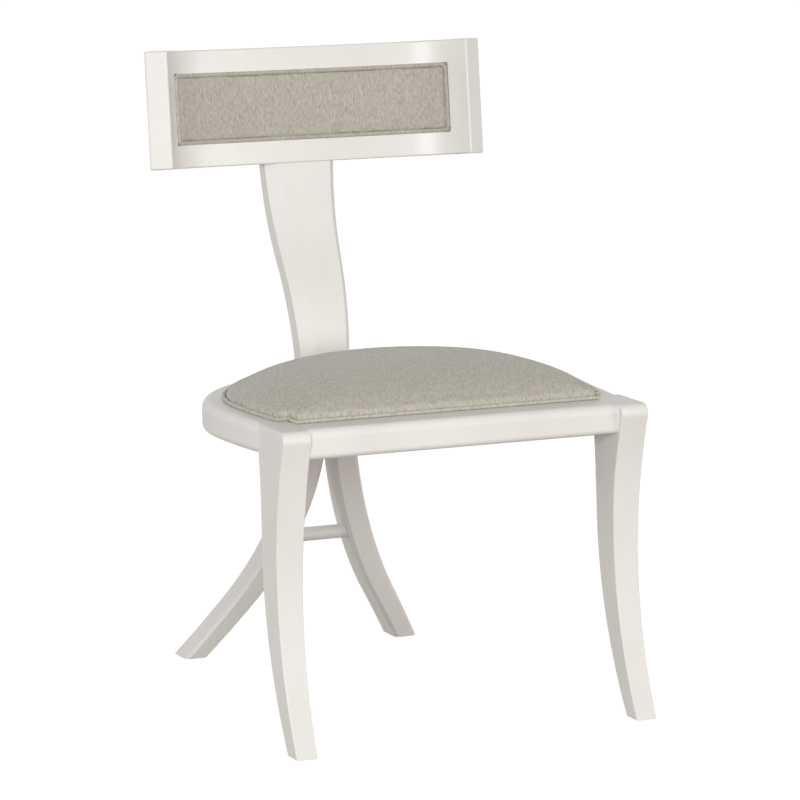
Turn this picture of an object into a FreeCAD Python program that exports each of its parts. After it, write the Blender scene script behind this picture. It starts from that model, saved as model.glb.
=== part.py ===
import FreeCAD, Part
import math
import os
import re

import Sketcher
from FreeCAD import Placement, Rotation, Vector

# Klismos chair: sabre front legs, splayed rear legs, horseshoe seat frame, faceted splat and a curved crest
# rail with an upholstered pad. Millimetres and degrees. The chair faces -Y and stands on Z = 0. X = 0 is the
# plane of symmetry. A distance called a line is measured backwards from the toes of the front legs.

SIZES = {
    "toe_reach": (316.43, "from the origin forward to the toes of the front legs"),
    "glide_height": (1.5, "floor to the underside of the feet"),
    "seat_height": (430.0, "floor to the top of the seat frame"),
    "edge_ease": (1.6, "rounding of the painted edges"),
    "fit_gap": (0.2, "clearance on each side of a tenon, dowel or screw"),
    "overcut": (5.0, "how far a cut runs past the faces that it opens"),
    "rail_height": (40.5, "height of the seat rails"),
    "rail_width": (50.0, "width of the side and back rails"),
    "front_rail_width": (62.0, "width of the front rail"),
    "rail_top_round": (12.0, "radius of the upper outer edge of the rails"),
    "rail_bottom_round": (8.0, "radius of the lower outer edge of the rails"),
    "rail_face_line": (46.0, "front face of the front rail"),
    "widest_line": (245.0, "where the seat frame is widest"),
    "seat_back_line": (491.0, "back of the seat frame"),
    "seat_half": (278.0, "half of the greatest width of the seat frame"),
    "side_sweep": (820.0, "radius of the side rails in front of their widest point"),
    "back_turn": (43.2, "half angle of the arc of the back rail"),
    "leg_width": (40.3, "width of a front leg at the rail"),
    "foot_depth": (31.0, "depth of a front foot"),
    "leg_top_line": (31.0, "front of a front leg at its top"),
    "leg_sweep": (545.0, "radius of the front of a front leg"),
    "calf_line": (111.0, "back of a front leg at the calf"),
    "calf_height": (275.0, "height of the calf"),
    "calf_radius": (530.0, "radius of the back of a front leg below the calf"),
    "leg_back_line": (119.0, "back of a front leg at the rail"),
    "crook_drop": (45.0, "from the top of the seat frame down to where the back of a front leg turns upright"),
    "taper_height": (320.0, "height from which the front legs taper down"),
    "inner_taper": (8.6, "taper of a front leg on its inner side"),
    "outer_taper": (2.0, "taper of a front leg on its outer side"),
    "nose_radius": (13.0, "rounding of the top of a front leg at the front"),
    "tenon_width": (30.0, "width of the tenons of the front rail"),
    "tenon_height": (18.0, "height of the tenons of the front rail"),
    "tenon_length": (28.0, "length of the tenons of the front rail"),
    "tenon_line": (74.0, "middle of the tenons of the front rail"),
    "dowel_diameter": (8.0, "dowels between the seat rails and the legs"),
    "dowel_length": (46.0, "length of these dowels"),
    "dowel_spacing": (18.0, "height between the two dowels of a joint"),
    "waist_drop": (42.0, "from the top of the seat frame down to where the rear legs stand upright"),
    "housing_height": (4.0, "height of the straight part of the housing over the rear legs"),
    "post_line": (485.0, "front of the rear legs at the waist"),
    "post_half": (38.0, "width of one rear leg at its top"),
    "post_depth": (38.0, "thickness of the rear legs"),
    "knee_height": (90.0, "where the splay of the rear legs straightens"),
    "knee_reach": (87.7, "splay of a rear leg from the waist to the knee"),
    "foot_reach": (145.4, "splay of a rear leg from the waist to the foot"),
    "rear_foot_width": (34.2, "width of a rear foot"),
    "rear_foot_line": (588.6, "front of the rear feet"),
    "leg_chamfer": (4.5, "chamfer on the front edges of the rear legs"),
    "stretcher_diameter": (20.0, "diameter of the stretcher"),
    "stretcher_height": (182.0, "axis of the stretcher above the floor"),
    "stretcher_line": (533.0, "axis of the stretcher"),
    "stretcher_half": (58.0, "half length of the stretcher with its ends"),
    "splat_top_half": (55.0, "half width of the splat under the crest rail"),
    "splat_low_radius": (400.0, "radius of the lower bend of the splat"),
    "splat_lean": (30.1, "greatest lean of the splat"),
    "splat_foot_depth": (39.0, "thickness of the splat at the seat"),
    "splat_mid_depth": (36.5, "thickness of the splat at its middle"),
    "splat_top_depth": (33.0, "thickness of the splat under the crest rail"),
    "facet_width": (12.8, "width of the splat's facets across the chair"),
    "facet_depth": (18.5, "depth of the splat's facets"),
    "splat_tenon_width": (13.0, "width of a lower tenon of the splat"),
    "splat_tenon_depth": (16.0, "thickness of a lower tenon of the splat"),
    "splat_tenon_length": (40.0, "length of a lower tenon of the splat"),
    "splat_tenon_offset": (13.0, "middle of a lower tenon from the centre"),
    "crest_tenon_half": (38.0, "half width of the upper tenon of the splat"),
    "crest_tenon_depth": (13.0, "thickness of the upper tenon of the splat"),
    "crest_tenon_length": (30.0, "length of the upper tenon of the splat"),
    "crest_rise": (282.5, "from the top of the seat frame up to the middle of the crest rail's lower edge"),
    "crest_rake": (6.9, "backward lean of the crest rail"),
    "crest_height": (164.7, "height of the crest rail along its lean"),
    "crest_thickness": (32.0, "thickness of the crest rail"),
    "crest_radius": (582.0, "radius of the middle of the crest rail's front"),
    "crest_turn": (16.2, "half angle of that middle arc"),
    "hook_radius": (115.0, "radius of the ends of the crest rail's front"),
    "crest_sweep": (60.0, "angle of the crest rail at its ends"),
    "crest_ease": (2.5, "rounding of the crest rail's edges"),
    "pad_sweep": (44.4, "angle of the crest rail at the ends of the pad"),
    "pad_height": (100.0, "height of the back pad"),
    "pad_recess": (10.0, "depth of the recess for the back pad"),
    "pad_board_thickness": (6.0, "thickness of the pad's board"),
    "pad_crown": (5.0, "how far the pad stands out of the crest rail"),
    "cover_thickness": (1.5, "thickness of the fabric with its lining"),
    "welt_diameter": (6.0, "diameter of the welts"),
    "cushion_front_line": (93.0, "front edge of the seat cushion"),
    "side_ledge": (27.0, "rail left bare beside the seat cushion"),
    "notch_gap": (2.0, "gap between the seat cushion and the front legs"),
    "cushion_crown": (52.0, "height of the seat cushion above the rails"),
    "board_thickness": (9.0, "thickness of the seat board"),
    "board_inset": (1.0, "how far the seat board lies inside the cover"),
    "block_height": (26.0, "height of the corner blocks"),
    "block_reach": (58.0, "length of the corner blocks along the rails"),
    "pad_inset": (0.3, "clearance around the back pad and its welt"),
    "pad_corner": (12.0, "rounding of the corners of the back pad"),
    "pad_edge_round": (4.0, "rounding of the edges of the back pad"),
    "welt_lift": (1.0, "how far the middle of the back pad's welt stands out"),
    "glide_diameter": (20.0, "diameter of the foot glides"),
    "nail_diameter": (2.5, "diameter of the nail of a glide"),
    "nail_length": (12.0, "length of the nail of a glide"),
    "bolt_diameter": (6.0, "bolts from the back rail into the rear legs"),
    "bolt_length": (62.0, "length of these bolts"),
    "bolt_head_diameter": (13.0, "head of these bolts"),
    "bolt_head_height": (4.0, "height of that head"),
    "bolt_offset": (28.5, "bolts from the centre"),
    "bolt_sink": (8.0, "depth of the counterbores for the bolts"),
    "screw_diameter": (4.0, "wood screws"),
    "screw_head_diameter": (8.0, "heads of the wood screws"),
    "screw_head_height": (3.0, "height of the heads of the wood screws"),
    "seat_screw_length": (28.0, "screws that hold the seat board"),
    "block_screw_length": (42.0, "screws of the corner blocks"),
    "pad_screw_length": (24.0, "screws that hold the board of the back pad"),
    "screw_bite": (20.0, "depth of the corner blocks' screws in the rails"),
    "tip_cover": (2.0, "board left over the tip of a screw"),
}

# Values worked out from the sizes.
LAYOUT = {
    "arc_gain": "(seat_half - seat_back_line + widest_line) / (sin(back_turn) + cos(back_turn) - 1)",
    "bend_radius": "seat_back_line - widest_line - arc_gain * (1 - cos(back_turn))",
    "back_radius": "bend_radius + arc_gain",
    "leg_face": "seat_half - side_sweep + sqrt(side_sweep^2 - (widest_line - leg_back_line)^2)",
    "leg_inner": "leg_face - leg_width",
    "rail_bottom": "seat_height - rail_height",
    "rail_middle": "seat_height - rail_height / 2",
    "crook_height": "seat_height - crook_drop",
    "waist_height": "seat_height - waist_drop",
    "crest_foot_height": "seat_height + crest_rise",
    "leg_bow": "(knee_reach^2 + (waist_height - knee_height)^2) / (2 * knee_reach)",
    "post_sag": "rear_foot_line - post_line",
    "post_sweep": "(post_sag^2 + (waist_height - glide_height)^2) / (2 * post_sag)",
    "post_centre": "post_line + post_sweep",
    "rear_heel_line": "post_centre - sqrt((post_sweep - post_depth)^2 - (waist_height - glide_height)^2)",
    "bend_line": "post_line + splat_low_radius * (1 - cos(splat_lean))",
    "bend_height": "waist_height + splat_low_radius * sin(splat_lean)",
    "splat_high_radius": "(crest_foot_height - bend_height) / (sin(splat_lean) - sin(crest_rake))",
    "crest_line": "bend_line + splat_high_radius * (cos(crest_rake) - cos(splat_lean))",
    "splat_foot_line": "post_line + splat_low_radius - sqrt(splat_low_radius^2 - waist_drop^2)",
    "hook_centre_x": "(crest_radius - hook_radius) * sin(crest_turn)",
    "hook_centre_y": "(crest_radius - hook_radius) * cos(crest_turn) - crest_radius",
    "stretcher_socket": "stretcher_diameter + 2 * fit_gap",
    "pad_middle": "crest_height / 2",
    "back_foot_line": "splat_foot_line + splat_foot_depth",
    "back_bend_line": "bend_line + splat_mid_depth * cos(splat_lean)",
    "back_bend_height": "bend_height - splat_mid_depth * sin(splat_lean)",
    "back_top_line": "crest_line + splat_top_depth * cos(crest_rake)",
    "back_top_height": "crest_foot_height - splat_top_depth * sin(crest_rake)",
    "low_run": "back_foot_line - back_bend_line",
    "low_rise": "seat_height - back_bend_height",
    "low_turn": "low_run * cos(splat_lean) - low_rise * sin(splat_lean)",
    "low_back_radius": "(low_run^2 + low_rise^2) / (2 * low_turn)",
    "high_run": "back_top_line - back_bend_line",
    "high_rise": "back_top_height - back_bend_height",
    "high_turn": "high_rise * sin(splat_lean) - high_run * cos(splat_lean)",
    "high_back_radius": "(high_run^2 + high_rise^2) / (2 * high_turn)",
    "front_foot_x": "(leg_inner + inner_taper + leg_face - outer_taper) / 2",
    "rear_foot_x": "post_half + foot_reach - rear_foot_width / 2",
    "rear_foot_middle": "(rear_foot_line + rear_heel_line) / 2",
    "block_middle": "seat_height - block_height / 2",
    "board_top": "seat_height + board_thickness",
}

PARTS = {}
DOC = FreeCAD.newDocument("KlismosChair")


def fill_sheet():
    """Put the sizes in a sheet and the values worked out from them in a set of their own."""
    sheet = DOC.addObject("Spreadsheet::Sheet", "Sizes")
    for row, (name, (size, note)) in enumerate(SIZES.items(), start=1):
        sheet.set(f"A{row}", name)
        sheet.set(f"B{row}", str(size))
        sheet.setAlias(f"B{row}", name)
        sheet.set(f"C{row}", note)
    DOC.recompute()
    layout = DOC.addObject("App::VarSet", "Layout")
    for name, text in LAYOUT.items():
        layout.addProperty("App::PropertyFloat", name)
        layout.setExpression(name, linked(text, own="Layout"))
    DOC.recompute()


def linked(text, own=""):
    """Turn the plain names of a formula into references to the sheet and the layout."""
    def reference(match):
        word = match.group(0)
        if word in SIZES:
            return f"Sizes.{word}"
        if word in LAYOUT:
            return word if own == "Layout" else f"Layout.{word}"
        return word
    return re.sub(r"[a-z_]+", reference, text)


def number(text):
    """Value of a formula in names of the sheet and the layout."""
    return float(DOC.Layout.evalExpression(linked(text)))


def behind(text):
    """Y of a line measured backwards from the toes."""
    return f"({text}) - toe_reach"


def new_body(name):
    """A body under a name."""
    body = DOC.addObject("PartDesign::Body", name)
    body.Label = name
    return body


def new_sketch(body, plane="XY", lift=None, frame=None):
    """A sketch on one of the body's origin planes, lifted along its normal or put in a frame of its own."""
    sketch = body.newObject("Sketcher::SketchObject", "Sketch")
    role = f"{plane}_Plane"
    base = [feature for feature in body.Origin.OriginFeatures if feature.Role == role][0]
    sketch.AttachmentSupport = [(base, "")]
    sketch.MapMode = "FlatFace"
    if lift:
        sketch.setExpression("AttachmentOffset.Base.z", linked(lift))
    if frame:
        sketch.AttachmentOffset = frame
    return sketch


def bind(sketch, kind, geometry, point, text):
    """Fix one coordinate of a point, or a radius, to a formula."""
    if kind == "Radius":
        constraint = Sketcher.Constraint(kind, geometry, number(text))
    else:
        constraint = Sketcher.Constraint(kind, -1, 1, geometry, point, number(text))
    index = sketch.addConstraint(constraint)
    sketch.setExpression(f"Constraints[{index}]", linked(text))


def draw_outline(sketch, corners, arcs=None):
    """Draw a closed outline through corners given as formulas.

    arcs maps the number of a corner to (turn, radius) for the edge that leaves it: turn is 1 where the edge
    curves to the left and -1 where it curves to the right.
    """
    arcs = arcs or {}
    points = [Vector(number(x), number(y), 0) for x, y in corners]
    edges = []
    for index, start in enumerate(points):
        end = points[(index + 1) % len(points)]
        if index not in arcs:
            edges.append((sketch.addGeometry(Part.LineSegment(start, end)), 1, 2))
            continue
        turn, radius_text = arcs[index]
        radius = number(radius_text)
        half = (end - start) * 0.5
        left = Vector(-half.y, half.x, 0).normalize()
        centre = start + half + left * turn * math.sqrt(max(radius**2 - half.Length**2, 0))
        first, last = (start, end) if turn > 0 else (end, start)
        angles = [math.atan2(point.y - centre.y, point.x - centre.x) for point in (first, last)]
        if angles[1] < angles[0]:
            angles[1] += 2 * math.pi
        circle = Part.Circle(centre, Vector(0, 0, 1), radius)
        edge = sketch.addGeometry(Part.ArcOfCircle(circle, *angles))
        edges.append((edge, 1, 2) if turn > 0 else (edge, 2, 1))
        bind(sketch, "Radius", edge, 0, radius_text)
    for index, (edge, _, end) in enumerate(edges):
        following, begin, _ = edges[(index + 1) % len(edges)]
        sketch.addConstraint(Sketcher.Constraint("Coincident", edge, end, following, begin))
    for (edge, begin, _), (x, y) in zip(edges, corners):
        bind(sketch, "DistanceX", edge, begin, x)
        bind(sketch, "DistanceY", edge, begin, y)


def draw_rectangle(sketch, left, right, bottom, top):
    """Draw a rectangle from the formulas of its sides."""
    draw_outline(sketch, [(left, bottom), (right, bottom), (right, top), (left, top)])


def draw_circle(sketch, x, y, diameter):
    """Draw a circle from formulas."""
    circle = Part.Circle(Vector(number(x), number(y), 0), Vector(0, 0, 1), number(diameter) / 2)
    edge = sketch.addGeometry(circle)
    bind(sketch, "DistanceX", edge, 3, x)
    bind(sketch, "DistanceY", edge, 3, y)
    bind(sketch, "Radius", edge, 0, f"({diameter}) / 2")


def pad(body, sketch, length, both=False):
    """Add material along the sketch's normal, or on both sides of it."""
    feature = body.newObject("PartDesign::Pad", "Pad")
    feature.Profile = sketch
    feature.setExpression("Length", linked(length))
    feature.SideType = "Symmetric" if both else "One side"
    DOC.recompute()
    return feature


def pocket(body, sketch, length=None):
    """Remove material on both sides of the sketch, all through or over a length in all."""
    before = body.Shape.Volume
    feature = body.newObject("PartDesign::Pocket", "Pocket")
    feature.Profile = sketch
    feature.SideType = "Symmetric"
    if length:
        feature.setExpression("Length", linked(length))
    else:
        feature.Type = "ThroughAll"
    DOC.recompute()
    if body.Shape.Volume > before - 0.5:
        raise RuntimeError(f"{body.Label}: a cut removes nothing")
    return feature


def soften(body, wanted, size):
    """Round the edges of the body for which wanted(edge) is true."""
    names = [f"Edge{index}" for index, edge in enumerate(body.Shape.Edges, start=1) if wanted(edge)]
    if not names:
        raise RuntimeError(f"{body.Label}: no edge to round")
    base = body.Tip
    feature = body.newObject("PartDesign::Fillet", "Fillet")
    feature.Base = (base, names)
    feature.setExpression("Radius", linked(size))
    DOC.recompute()
    return feature


def bevel(body, wanted, first, second, flip):
    """Cut a facet of two distances along the edges for which wanted(edge) is true."""
    names = [f"Edge{index}" for index, edge in enumerate(body.Shape.Edges, start=1) if wanted(edge)]
    base = body.Tip
    feature = body.newObject("PartDesign::Chamfer", "Chamfer")
    feature.Base = (base, names)
    feature.ChamferType = "Two distances"
    feature.setExpression("Size", linked(first))
    feature.setExpression("Size2", linked(second))
    feature.FlipDirection = flip
    DOC.recompute()
    return feature


def middle_of(edge):
    """Point halfway along an edge."""
    return edge.valueAt((edge.FirstParameter + edge.LastParameter) / 2)


def direction_of(edge):
    """Direction of an edge at its middle."""
    return edge.tangentAt((edge.FirstParameter + edge.LastParameter) / 2)


def finish(name, piece):
    """Keep a finished piece under the name of its file."""
    piece.Label = name
    PARTS[name] = piece


def cut_piece(name, outer, hollow):
    """Keep the outer form less its hollow as a finished piece."""
    piece = DOC.addObject("Part::Cut", name)
    piece.Base = outer
    piece.Tool = hollow
    DOC.recompute()
    finish(name, piece)


def side_x(inset, line):
    """X of the seat frame's outline, moved in by inset, at a line in front of the widest point."""
    return f"(seat_half - side_sweep + sqrt((side_sweep - ({inset}))^2 - (widest_line - ({line}))^2))"


def bend_x(inset):
    """X of the point where the side bend meets the back arc, on the outline moved in by inset."""
    return f"((back_radius - ({inset})) * sin(back_turn))"


def bend_y(inset):
    """Y of that point."""
    return behind(f"seat_back_line - back_radius + (back_radius - ({inset})) * cos(back_turn)")


# Seats of the fasteners, as (x, line, height) for one side.
LEG_DOWEL_X = "(leg_face - leg_width / 2)"
BACK_SCREW_X = "(seat_half / 3)"
BACK_SCREW_RADIUS = "(back_radius - rail_width * 0.85)"
BACK_SCREW_LINE = f"(seat_back_line - back_radius + sqrt({BACK_SCREW_RADIUS}^2 - {BACK_SCREW_X}^2))"
BLOCK_SCREW_X = "(leg_inner - block_reach * 0.28)"
BLOCK_SCREW_LINE = "(rail_face_line + front_rail_width + block_reach * 0.24)"
SCREW_SEAT = "(board_top - tip_cover - seat_screw_length)"
FRONT_SCREW_X = "(leg_inner - block_reach * 0.6)"
FRONT_SCREW_TIP = "(rail_face_line + front_rail_width - screw_bite)"
SIDE_SCREW_LINE = "(leg_back_line + block_reach * 0.35)"
SIDE_SCREW_TIP = f"({side_x('rail_width', SIDE_SCREW_LINE)} + screw_bite)"
FRONT_SCREW_HEIGHT = "(block_middle - block_height / 5)"
SIDE_SCREW_HEIGHT = "(block_middle + block_height / 5)"
BOLT_SEAT = "(seat_back_line - rail_width + bolt_sink)"
PAD_SCREW_X = "(pad_height * 0.45)"
PAD_SCREW_RISE = "(pad_height * 0.22)"
SCREW_BORE = "screw_diameter + 2 * fit_gap"
HEAD_BORE = "screw_head_diameter + 4 * fit_gap"
DOWEL_BORE = "dowel_diameter + 2 * fit_gap"


def build_front_leg(name, side):
    """Sabre leg: one side profile, tapered in the front view, with a rounded top and its joints."""
    body = new_body(name)
    sketch = new_sketch(body, "YZ", "leg_inner" if side > 0 else "-leg_face")
    crook = "((leg_back_line - calf_line) + (crook_height - calf_height)^2 / (leg_back_line - calf_line)) / 2"
    corners = [
        (behind("0"), "glide_height"),
        (behind("foot_depth"), "glide_height"),
        (behind("calf_line"), "calf_height"),
        (behind("leg_back_line"), "crook_height"),
        (behind("leg_back_line"), "seat_height"),
        (behind("leg_top_line"), "seat_height"),
    ]
    draw_outline(sketch, corners, {1: (1, "calf_radius"), 2: (-1, crook), 5: (-1, "leg_sweep")})
    pad(body, sketch, "leg_width")
    tapers = (("leg_inner", "inner_taper", "- overcut"), ("leg_face", "-outer_taper", "+ overcut"))
    for face, shift, away in tapers:
        taper = new_sketch(body, "XZ")
        draw_outline(taper, [
            (f"{side} * ({face} {away})", "taper_height"),
            (f"{side} * {face}", "taper_height"),
            (f"{side} * ({face} + {shift})", "glide_height"),
            (f"{side} * ({face} + {shift})", "glide_height - overcut"),
            (f"{side} * ({face} {away})", "glide_height - overcut"),
        ])
        pocket(body, taper)
    top = number("seat_height")
    front = number(behind("leg_top_line"))
    soften(body, lambda edge: abs(middle_of(edge).z - top) < 0.1 and abs(middle_of(edge).y - front) < 0.1,
           "nose_radius")
    shortest = number("foot_depth") / 2
    soften(body, lambda edge: abs(direction_of(edge).x) < 0.5 and edge.Length > shortest, "edge_ease")

    mortise = new_sketch(body, "YZ", f"{side} * leg_inner")
    draw_rectangle(
        mortise,
        behind("tenon_line - tenon_width / 2 - fit_gap"), behind("tenon_line + tenon_width / 2 + fit_gap"),
        "rail_middle - tenon_height / 2 - fit_gap", "rail_middle + tenon_height / 2 + fit_gap",
    )
    pocket(body, mortise, "2 * (tenon_length + fit_gap)")
    holes = new_sketch(body, "XZ", f"-({behind('leg_back_line')})")
    for step in (-1, 1):
        draw_circle(holes, f"{side} * {LEG_DOWEL_X}", f"rail_middle + {step} * dowel_spacing / 2", DOWEL_BORE)
    pocket(body, holes, "dowel_length + 2 * fit_gap")
    nail = new_sketch(body, "XY", "glide_height")
    draw_circle(nail, f"{side} * front_foot_x", behind("foot_depth / 2"), "nail_diameter + 2 * fit_gap")
    pocket(body, nail, "2 * (nail_length + fit_gap)")
    finish(name, body)


def build_front_rail():
    """Rounded rail between the front legs, with a tenon at each end."""
    body = new_body("front_rail")
    face = "rail_face_line"
    section = new_sketch(body, "YZ")
    draw_outline(section, [
        (behind(f"{face} + rail_bottom_round"), "rail_bottom"),
        (behind(f"{face} + front_rail_width"), "rail_bottom"),
        (behind(f"{face} + front_rail_width"), "seat_height"),
        (behind(f"{face} + rail_top_round"), "seat_height"),
        (behind(face), "seat_height - rail_top_round"),
        (behind(face), "rail_bottom + rail_bottom_round"),
    ], {3: (1, "rail_top_round"), 5: (1, "rail_bottom_round")})
    pad(body, section, "2 * leg_inner", both=True)
    tenon = new_sketch(body, "YZ")
    draw_rectangle(
        tenon,
        behind("tenon_line - tenon_width / 2"), behind("tenon_line + tenon_width / 2"),
        "rail_middle - tenon_height / 2", "rail_middle + tenon_height / 2",
    )
    pad(body, tenon, "2 * (leg_inner + tenon_length)", both=True)
    holes = new_sketch(body, "XZ", f"-({behind('rail_face_line + front_rail_width')})")
    for side in (-1, 1):
        draw_circle(holes, f"{side} * {FRONT_SCREW_X}", FRONT_SCREW_HEIGHT, SCREW_BORE)
    pocket(body, holes, "2 * (screw_bite + fit_gap)")
    finish("front_rail", body)


def round_rail(body):
    """Round the outer edges of a curved rail: the upper ones more than the lower ones."""
    middle_y = number(behind("seat_back_line - back_radius"))
    inner = number("seat_half - rail_width / 2")
    side = number("seat_half - rail_width")
    for height, size in (("seat_height", "rail_top_round"), ("rail_bottom", "rail_bottom_round")):
        level = number(height)

        def outer(edge):
            point = middle_of(edge)
            at_level = abs(point.z - level) < 0.01 and abs(direction_of(edge).z) < 0.01
            curved = edge.Curve.TypeId == "Part::GeomCircle"
            if point.y < middle_y:
                return at_level and curved and abs(point.x) > side
            return at_level and curved and math.hypot(point.x, point.y - middle_y) > inner
        soften(body, outer, size)


def bend_frame(side):
    """Frame of the joint between a side rail and the back rail: Z along the rail, X upwards."""
    angle = math.radians(number("back_turn"))
    radius = number("back_radius - rail_width / 2")
    y = number(behind("seat_back_line - back_radius")) + radius * math.cos(angle)
    middle = Vector(side * radius * math.sin(angle), y, number("rail_middle"))
    along = Vector(side * math.cos(angle), -math.sin(angle), 0)
    up = Vector(0, 0, 1)
    return Placement(middle, Rotation(up, along.cross(up), along, "ZXY"))


def bend_dowel_holes(body, side):
    """Holes for the two dowels of the joint at the bend."""
    sketch = new_sketch(body, frame=bend_frame(side))
    for step in (-1, 1):
        draw_circle(sketch, f"{step} * dowel_spacing / 2", "0", DOWEL_BORE)
    pocket(body, sketch, "dowel_length + 2 * fit_gap")


def build_side_rail(name, side):
    """Side of the horseshoe, from the front leg to the bend of the back."""
    body = new_body(name)
    plan = new_sketch(body, "XY", "rail_bottom")
    draw_outline(plan, [
        (f"{side} * {side_x('0', 'leg_back_line')}", behind("leg_back_line")),
        (f"{side} * seat_half", behind("widest_line")),
        (f"{side} * {bend_x('0')}", bend_y("0")),
        (f"{side} * {bend_x('rail_width')}", bend_y("rail_width")),
        (f"{side} * (seat_half - rail_width)", behind("widest_line")),
        (f"{side} * {side_x('rail_width', 'leg_back_line')}", behind("leg_back_line")),
    ], {
        0: (side, "side_sweep"),
        1: (side, "bend_radius"),
        3: (-side, "bend_radius - rail_width"),
        4: (-side, "side_sweep - rail_width"),
    })
    pad(body, plan, "rail_height")
    round_rail(body)
    holes = new_sketch(body, "XZ", f"-({behind('leg_back_line')})")
    for step in (-1, 1):
        draw_circle(holes, f"{side} * {LEG_DOWEL_X}", f"rail_middle + {step} * dowel_spacing / 2", DOWEL_BORE)
    pocket(body, holes, "dowel_length + 2 * fit_gap")
    bend_dowel_holes(body, side)
    screw = new_sketch(body, "YZ", f"{side} * {side_x('rail_width', SIDE_SCREW_LINE)}")
    draw_circle(screw, behind(SIDE_SCREW_LINE), SIDE_SCREW_HEIGHT, SCREW_BORE)
    pocket(body, screw, "2 * (screw_bite + fit_gap)")
    finish(name, body)


def seat_screw_hole(body, x, line, low):
    """Upright hole for a screw of the seat board, counterbored from below."""
    shank = new_sketch(body, "XY", "seat_height")
    draw_circle(shank, x, behind(line), SCREW_BORE)
    pocket(body, shank, "2 * (rail_height + overcut)")
    head = new_sketch(body, "XY", low)
    draw_circle(head, x, behind(line), HEAD_BORE)
    pocket(body, head, f"2 * ({SCREW_SEAT} - ({low}))")


def build_back_rail():
    """Back arc of the horseshoe, housed over the tops of the rear legs and bored for their bolts."""
    body = new_body("seat_rail_back")
    plan = new_sketch(body, "XY", "rail_bottom")
    draw_outline(plan, [
        (bend_x("0"), bend_y("0")),
        (f"-{bend_x('0')}", bend_y("0")),
        (f"-{bend_x('rail_width')}", bend_y("rail_width")),
        (bend_x("rail_width"), bend_y("rail_width")),
    ], {0: (1, "back_radius"), 2: (-1, "back_radius - rail_width")})
    pad(body, plan, "rail_height")
    round_rail(body)
    housing = new_sketch(body, "YZ")
    draw_outline(housing, [
        (behind("post_line - fit_gap"), "rail_bottom - overcut"),
        (behind("seat_back_line + overcut"), "rail_bottom - overcut"),
        (behind("seat_back_line + overcut"), "seat_height + overcut"),
        (behind("splat_foot_line - fit_gap"), "seat_height + overcut"),
        (behind("splat_foot_line - fit_gap"), "seat_height"),
        (behind("post_line - fit_gap"), "waist_height + housing_height"),
    ])
    pocket(body, housing, "2 * (post_half + fit_gap)")
    for side in (-1, 1):
        bend_dowel_holes(body, side)
    holes = new_sketch(body, "XZ", f"-({behind('post_line')})")
    counterbores = new_sketch(body, "XZ", f"-({behind('seat_back_line - rail_width')})")
    for side in (-1, 1):
        draw_circle(holes, f"{side} * bolt_offset", "rail_middle", "bolt_diameter + 2 * fit_gap")
        draw_circle(counterbores, f"{side} * bolt_offset", "rail_middle", "bolt_head_diameter + 4 * fit_gap")
    pocket(body, holes, "2 * rail_width")
    pocket(body, counterbores, f"2 * ({BOLT_SEAT} - seat_back_line + rail_width)")
    for side in (-1, 1):
        seat_screw_hole(body, f"{side} * {BACK_SCREW_X}", BACK_SCREW_LINE, "rail_bottom")
    finish("seat_rail_back", body)


def build_corner_block(name, side):
    """Block glued in the corner between the front rail, the leg and the side rail."""
    body = new_body(name)
    back = "rail_face_line + front_rail_width"
    far = "leg_back_line + block_reach"
    plan = new_sketch(body, "XY", "seat_height - block_height")
    draw_outline(plan, [
        (f"{side} * leg_inner", behind(back)),
        (f"{side} * leg_inner", behind("leg_back_line")),
        (f"{side} * {side_x('rail_width', 'leg_back_line')}", behind("leg_back_line")),
        (f"{side} * {side_x('rail_width', far)}", behind(far)),
        (f"{side} * (leg_inner - block_reach)", behind(back)),
    ], {2: (side, "side_sweep - rail_width")})
    pad(body, plan, "block_height")
    across = new_sketch(body, "XZ", f"-({behind(back)})")
    draw_circle(across, f"{side} * {FRONT_SCREW_X}", FRONT_SCREW_HEIGHT, SCREW_BORE)
    pocket(body, across, "2 * block_reach")
    head = new_sketch(body, "XZ", f"-({behind(f'{FRONT_SCREW_TIP} + block_screw_length + block_reach')})")
    draw_circle(head, f"{side} * {FRONT_SCREW_X}", FRONT_SCREW_HEIGHT, HEAD_BORE)
    pocket(body, head, "2 * block_reach")
    along = new_sketch(body, "YZ", f"{side} * {SIDE_SCREW_TIP}")
    draw_circle(along, behind(SIDE_SCREW_LINE), SIDE_SCREW_HEIGHT, SCREW_BORE)
    pocket(body, along, "2 * (block_reach + screw_bite)")
    head = new_sketch(body, "YZ", f"{side} * ({SIDE_SCREW_TIP} - block_screw_length - block_reach)")
    draw_circle(head, behind(SIDE_SCREW_LINE), SIDE_SCREW_HEIGHT, HEAD_BORE)
    pocket(body, head, "2 * block_reach")
    seat_screw_hole(body, f"{side} * {BLOCK_SCREW_X}", BLOCK_SCREW_LINE, "seat_height - block_height")
    finish(name, body)


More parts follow.
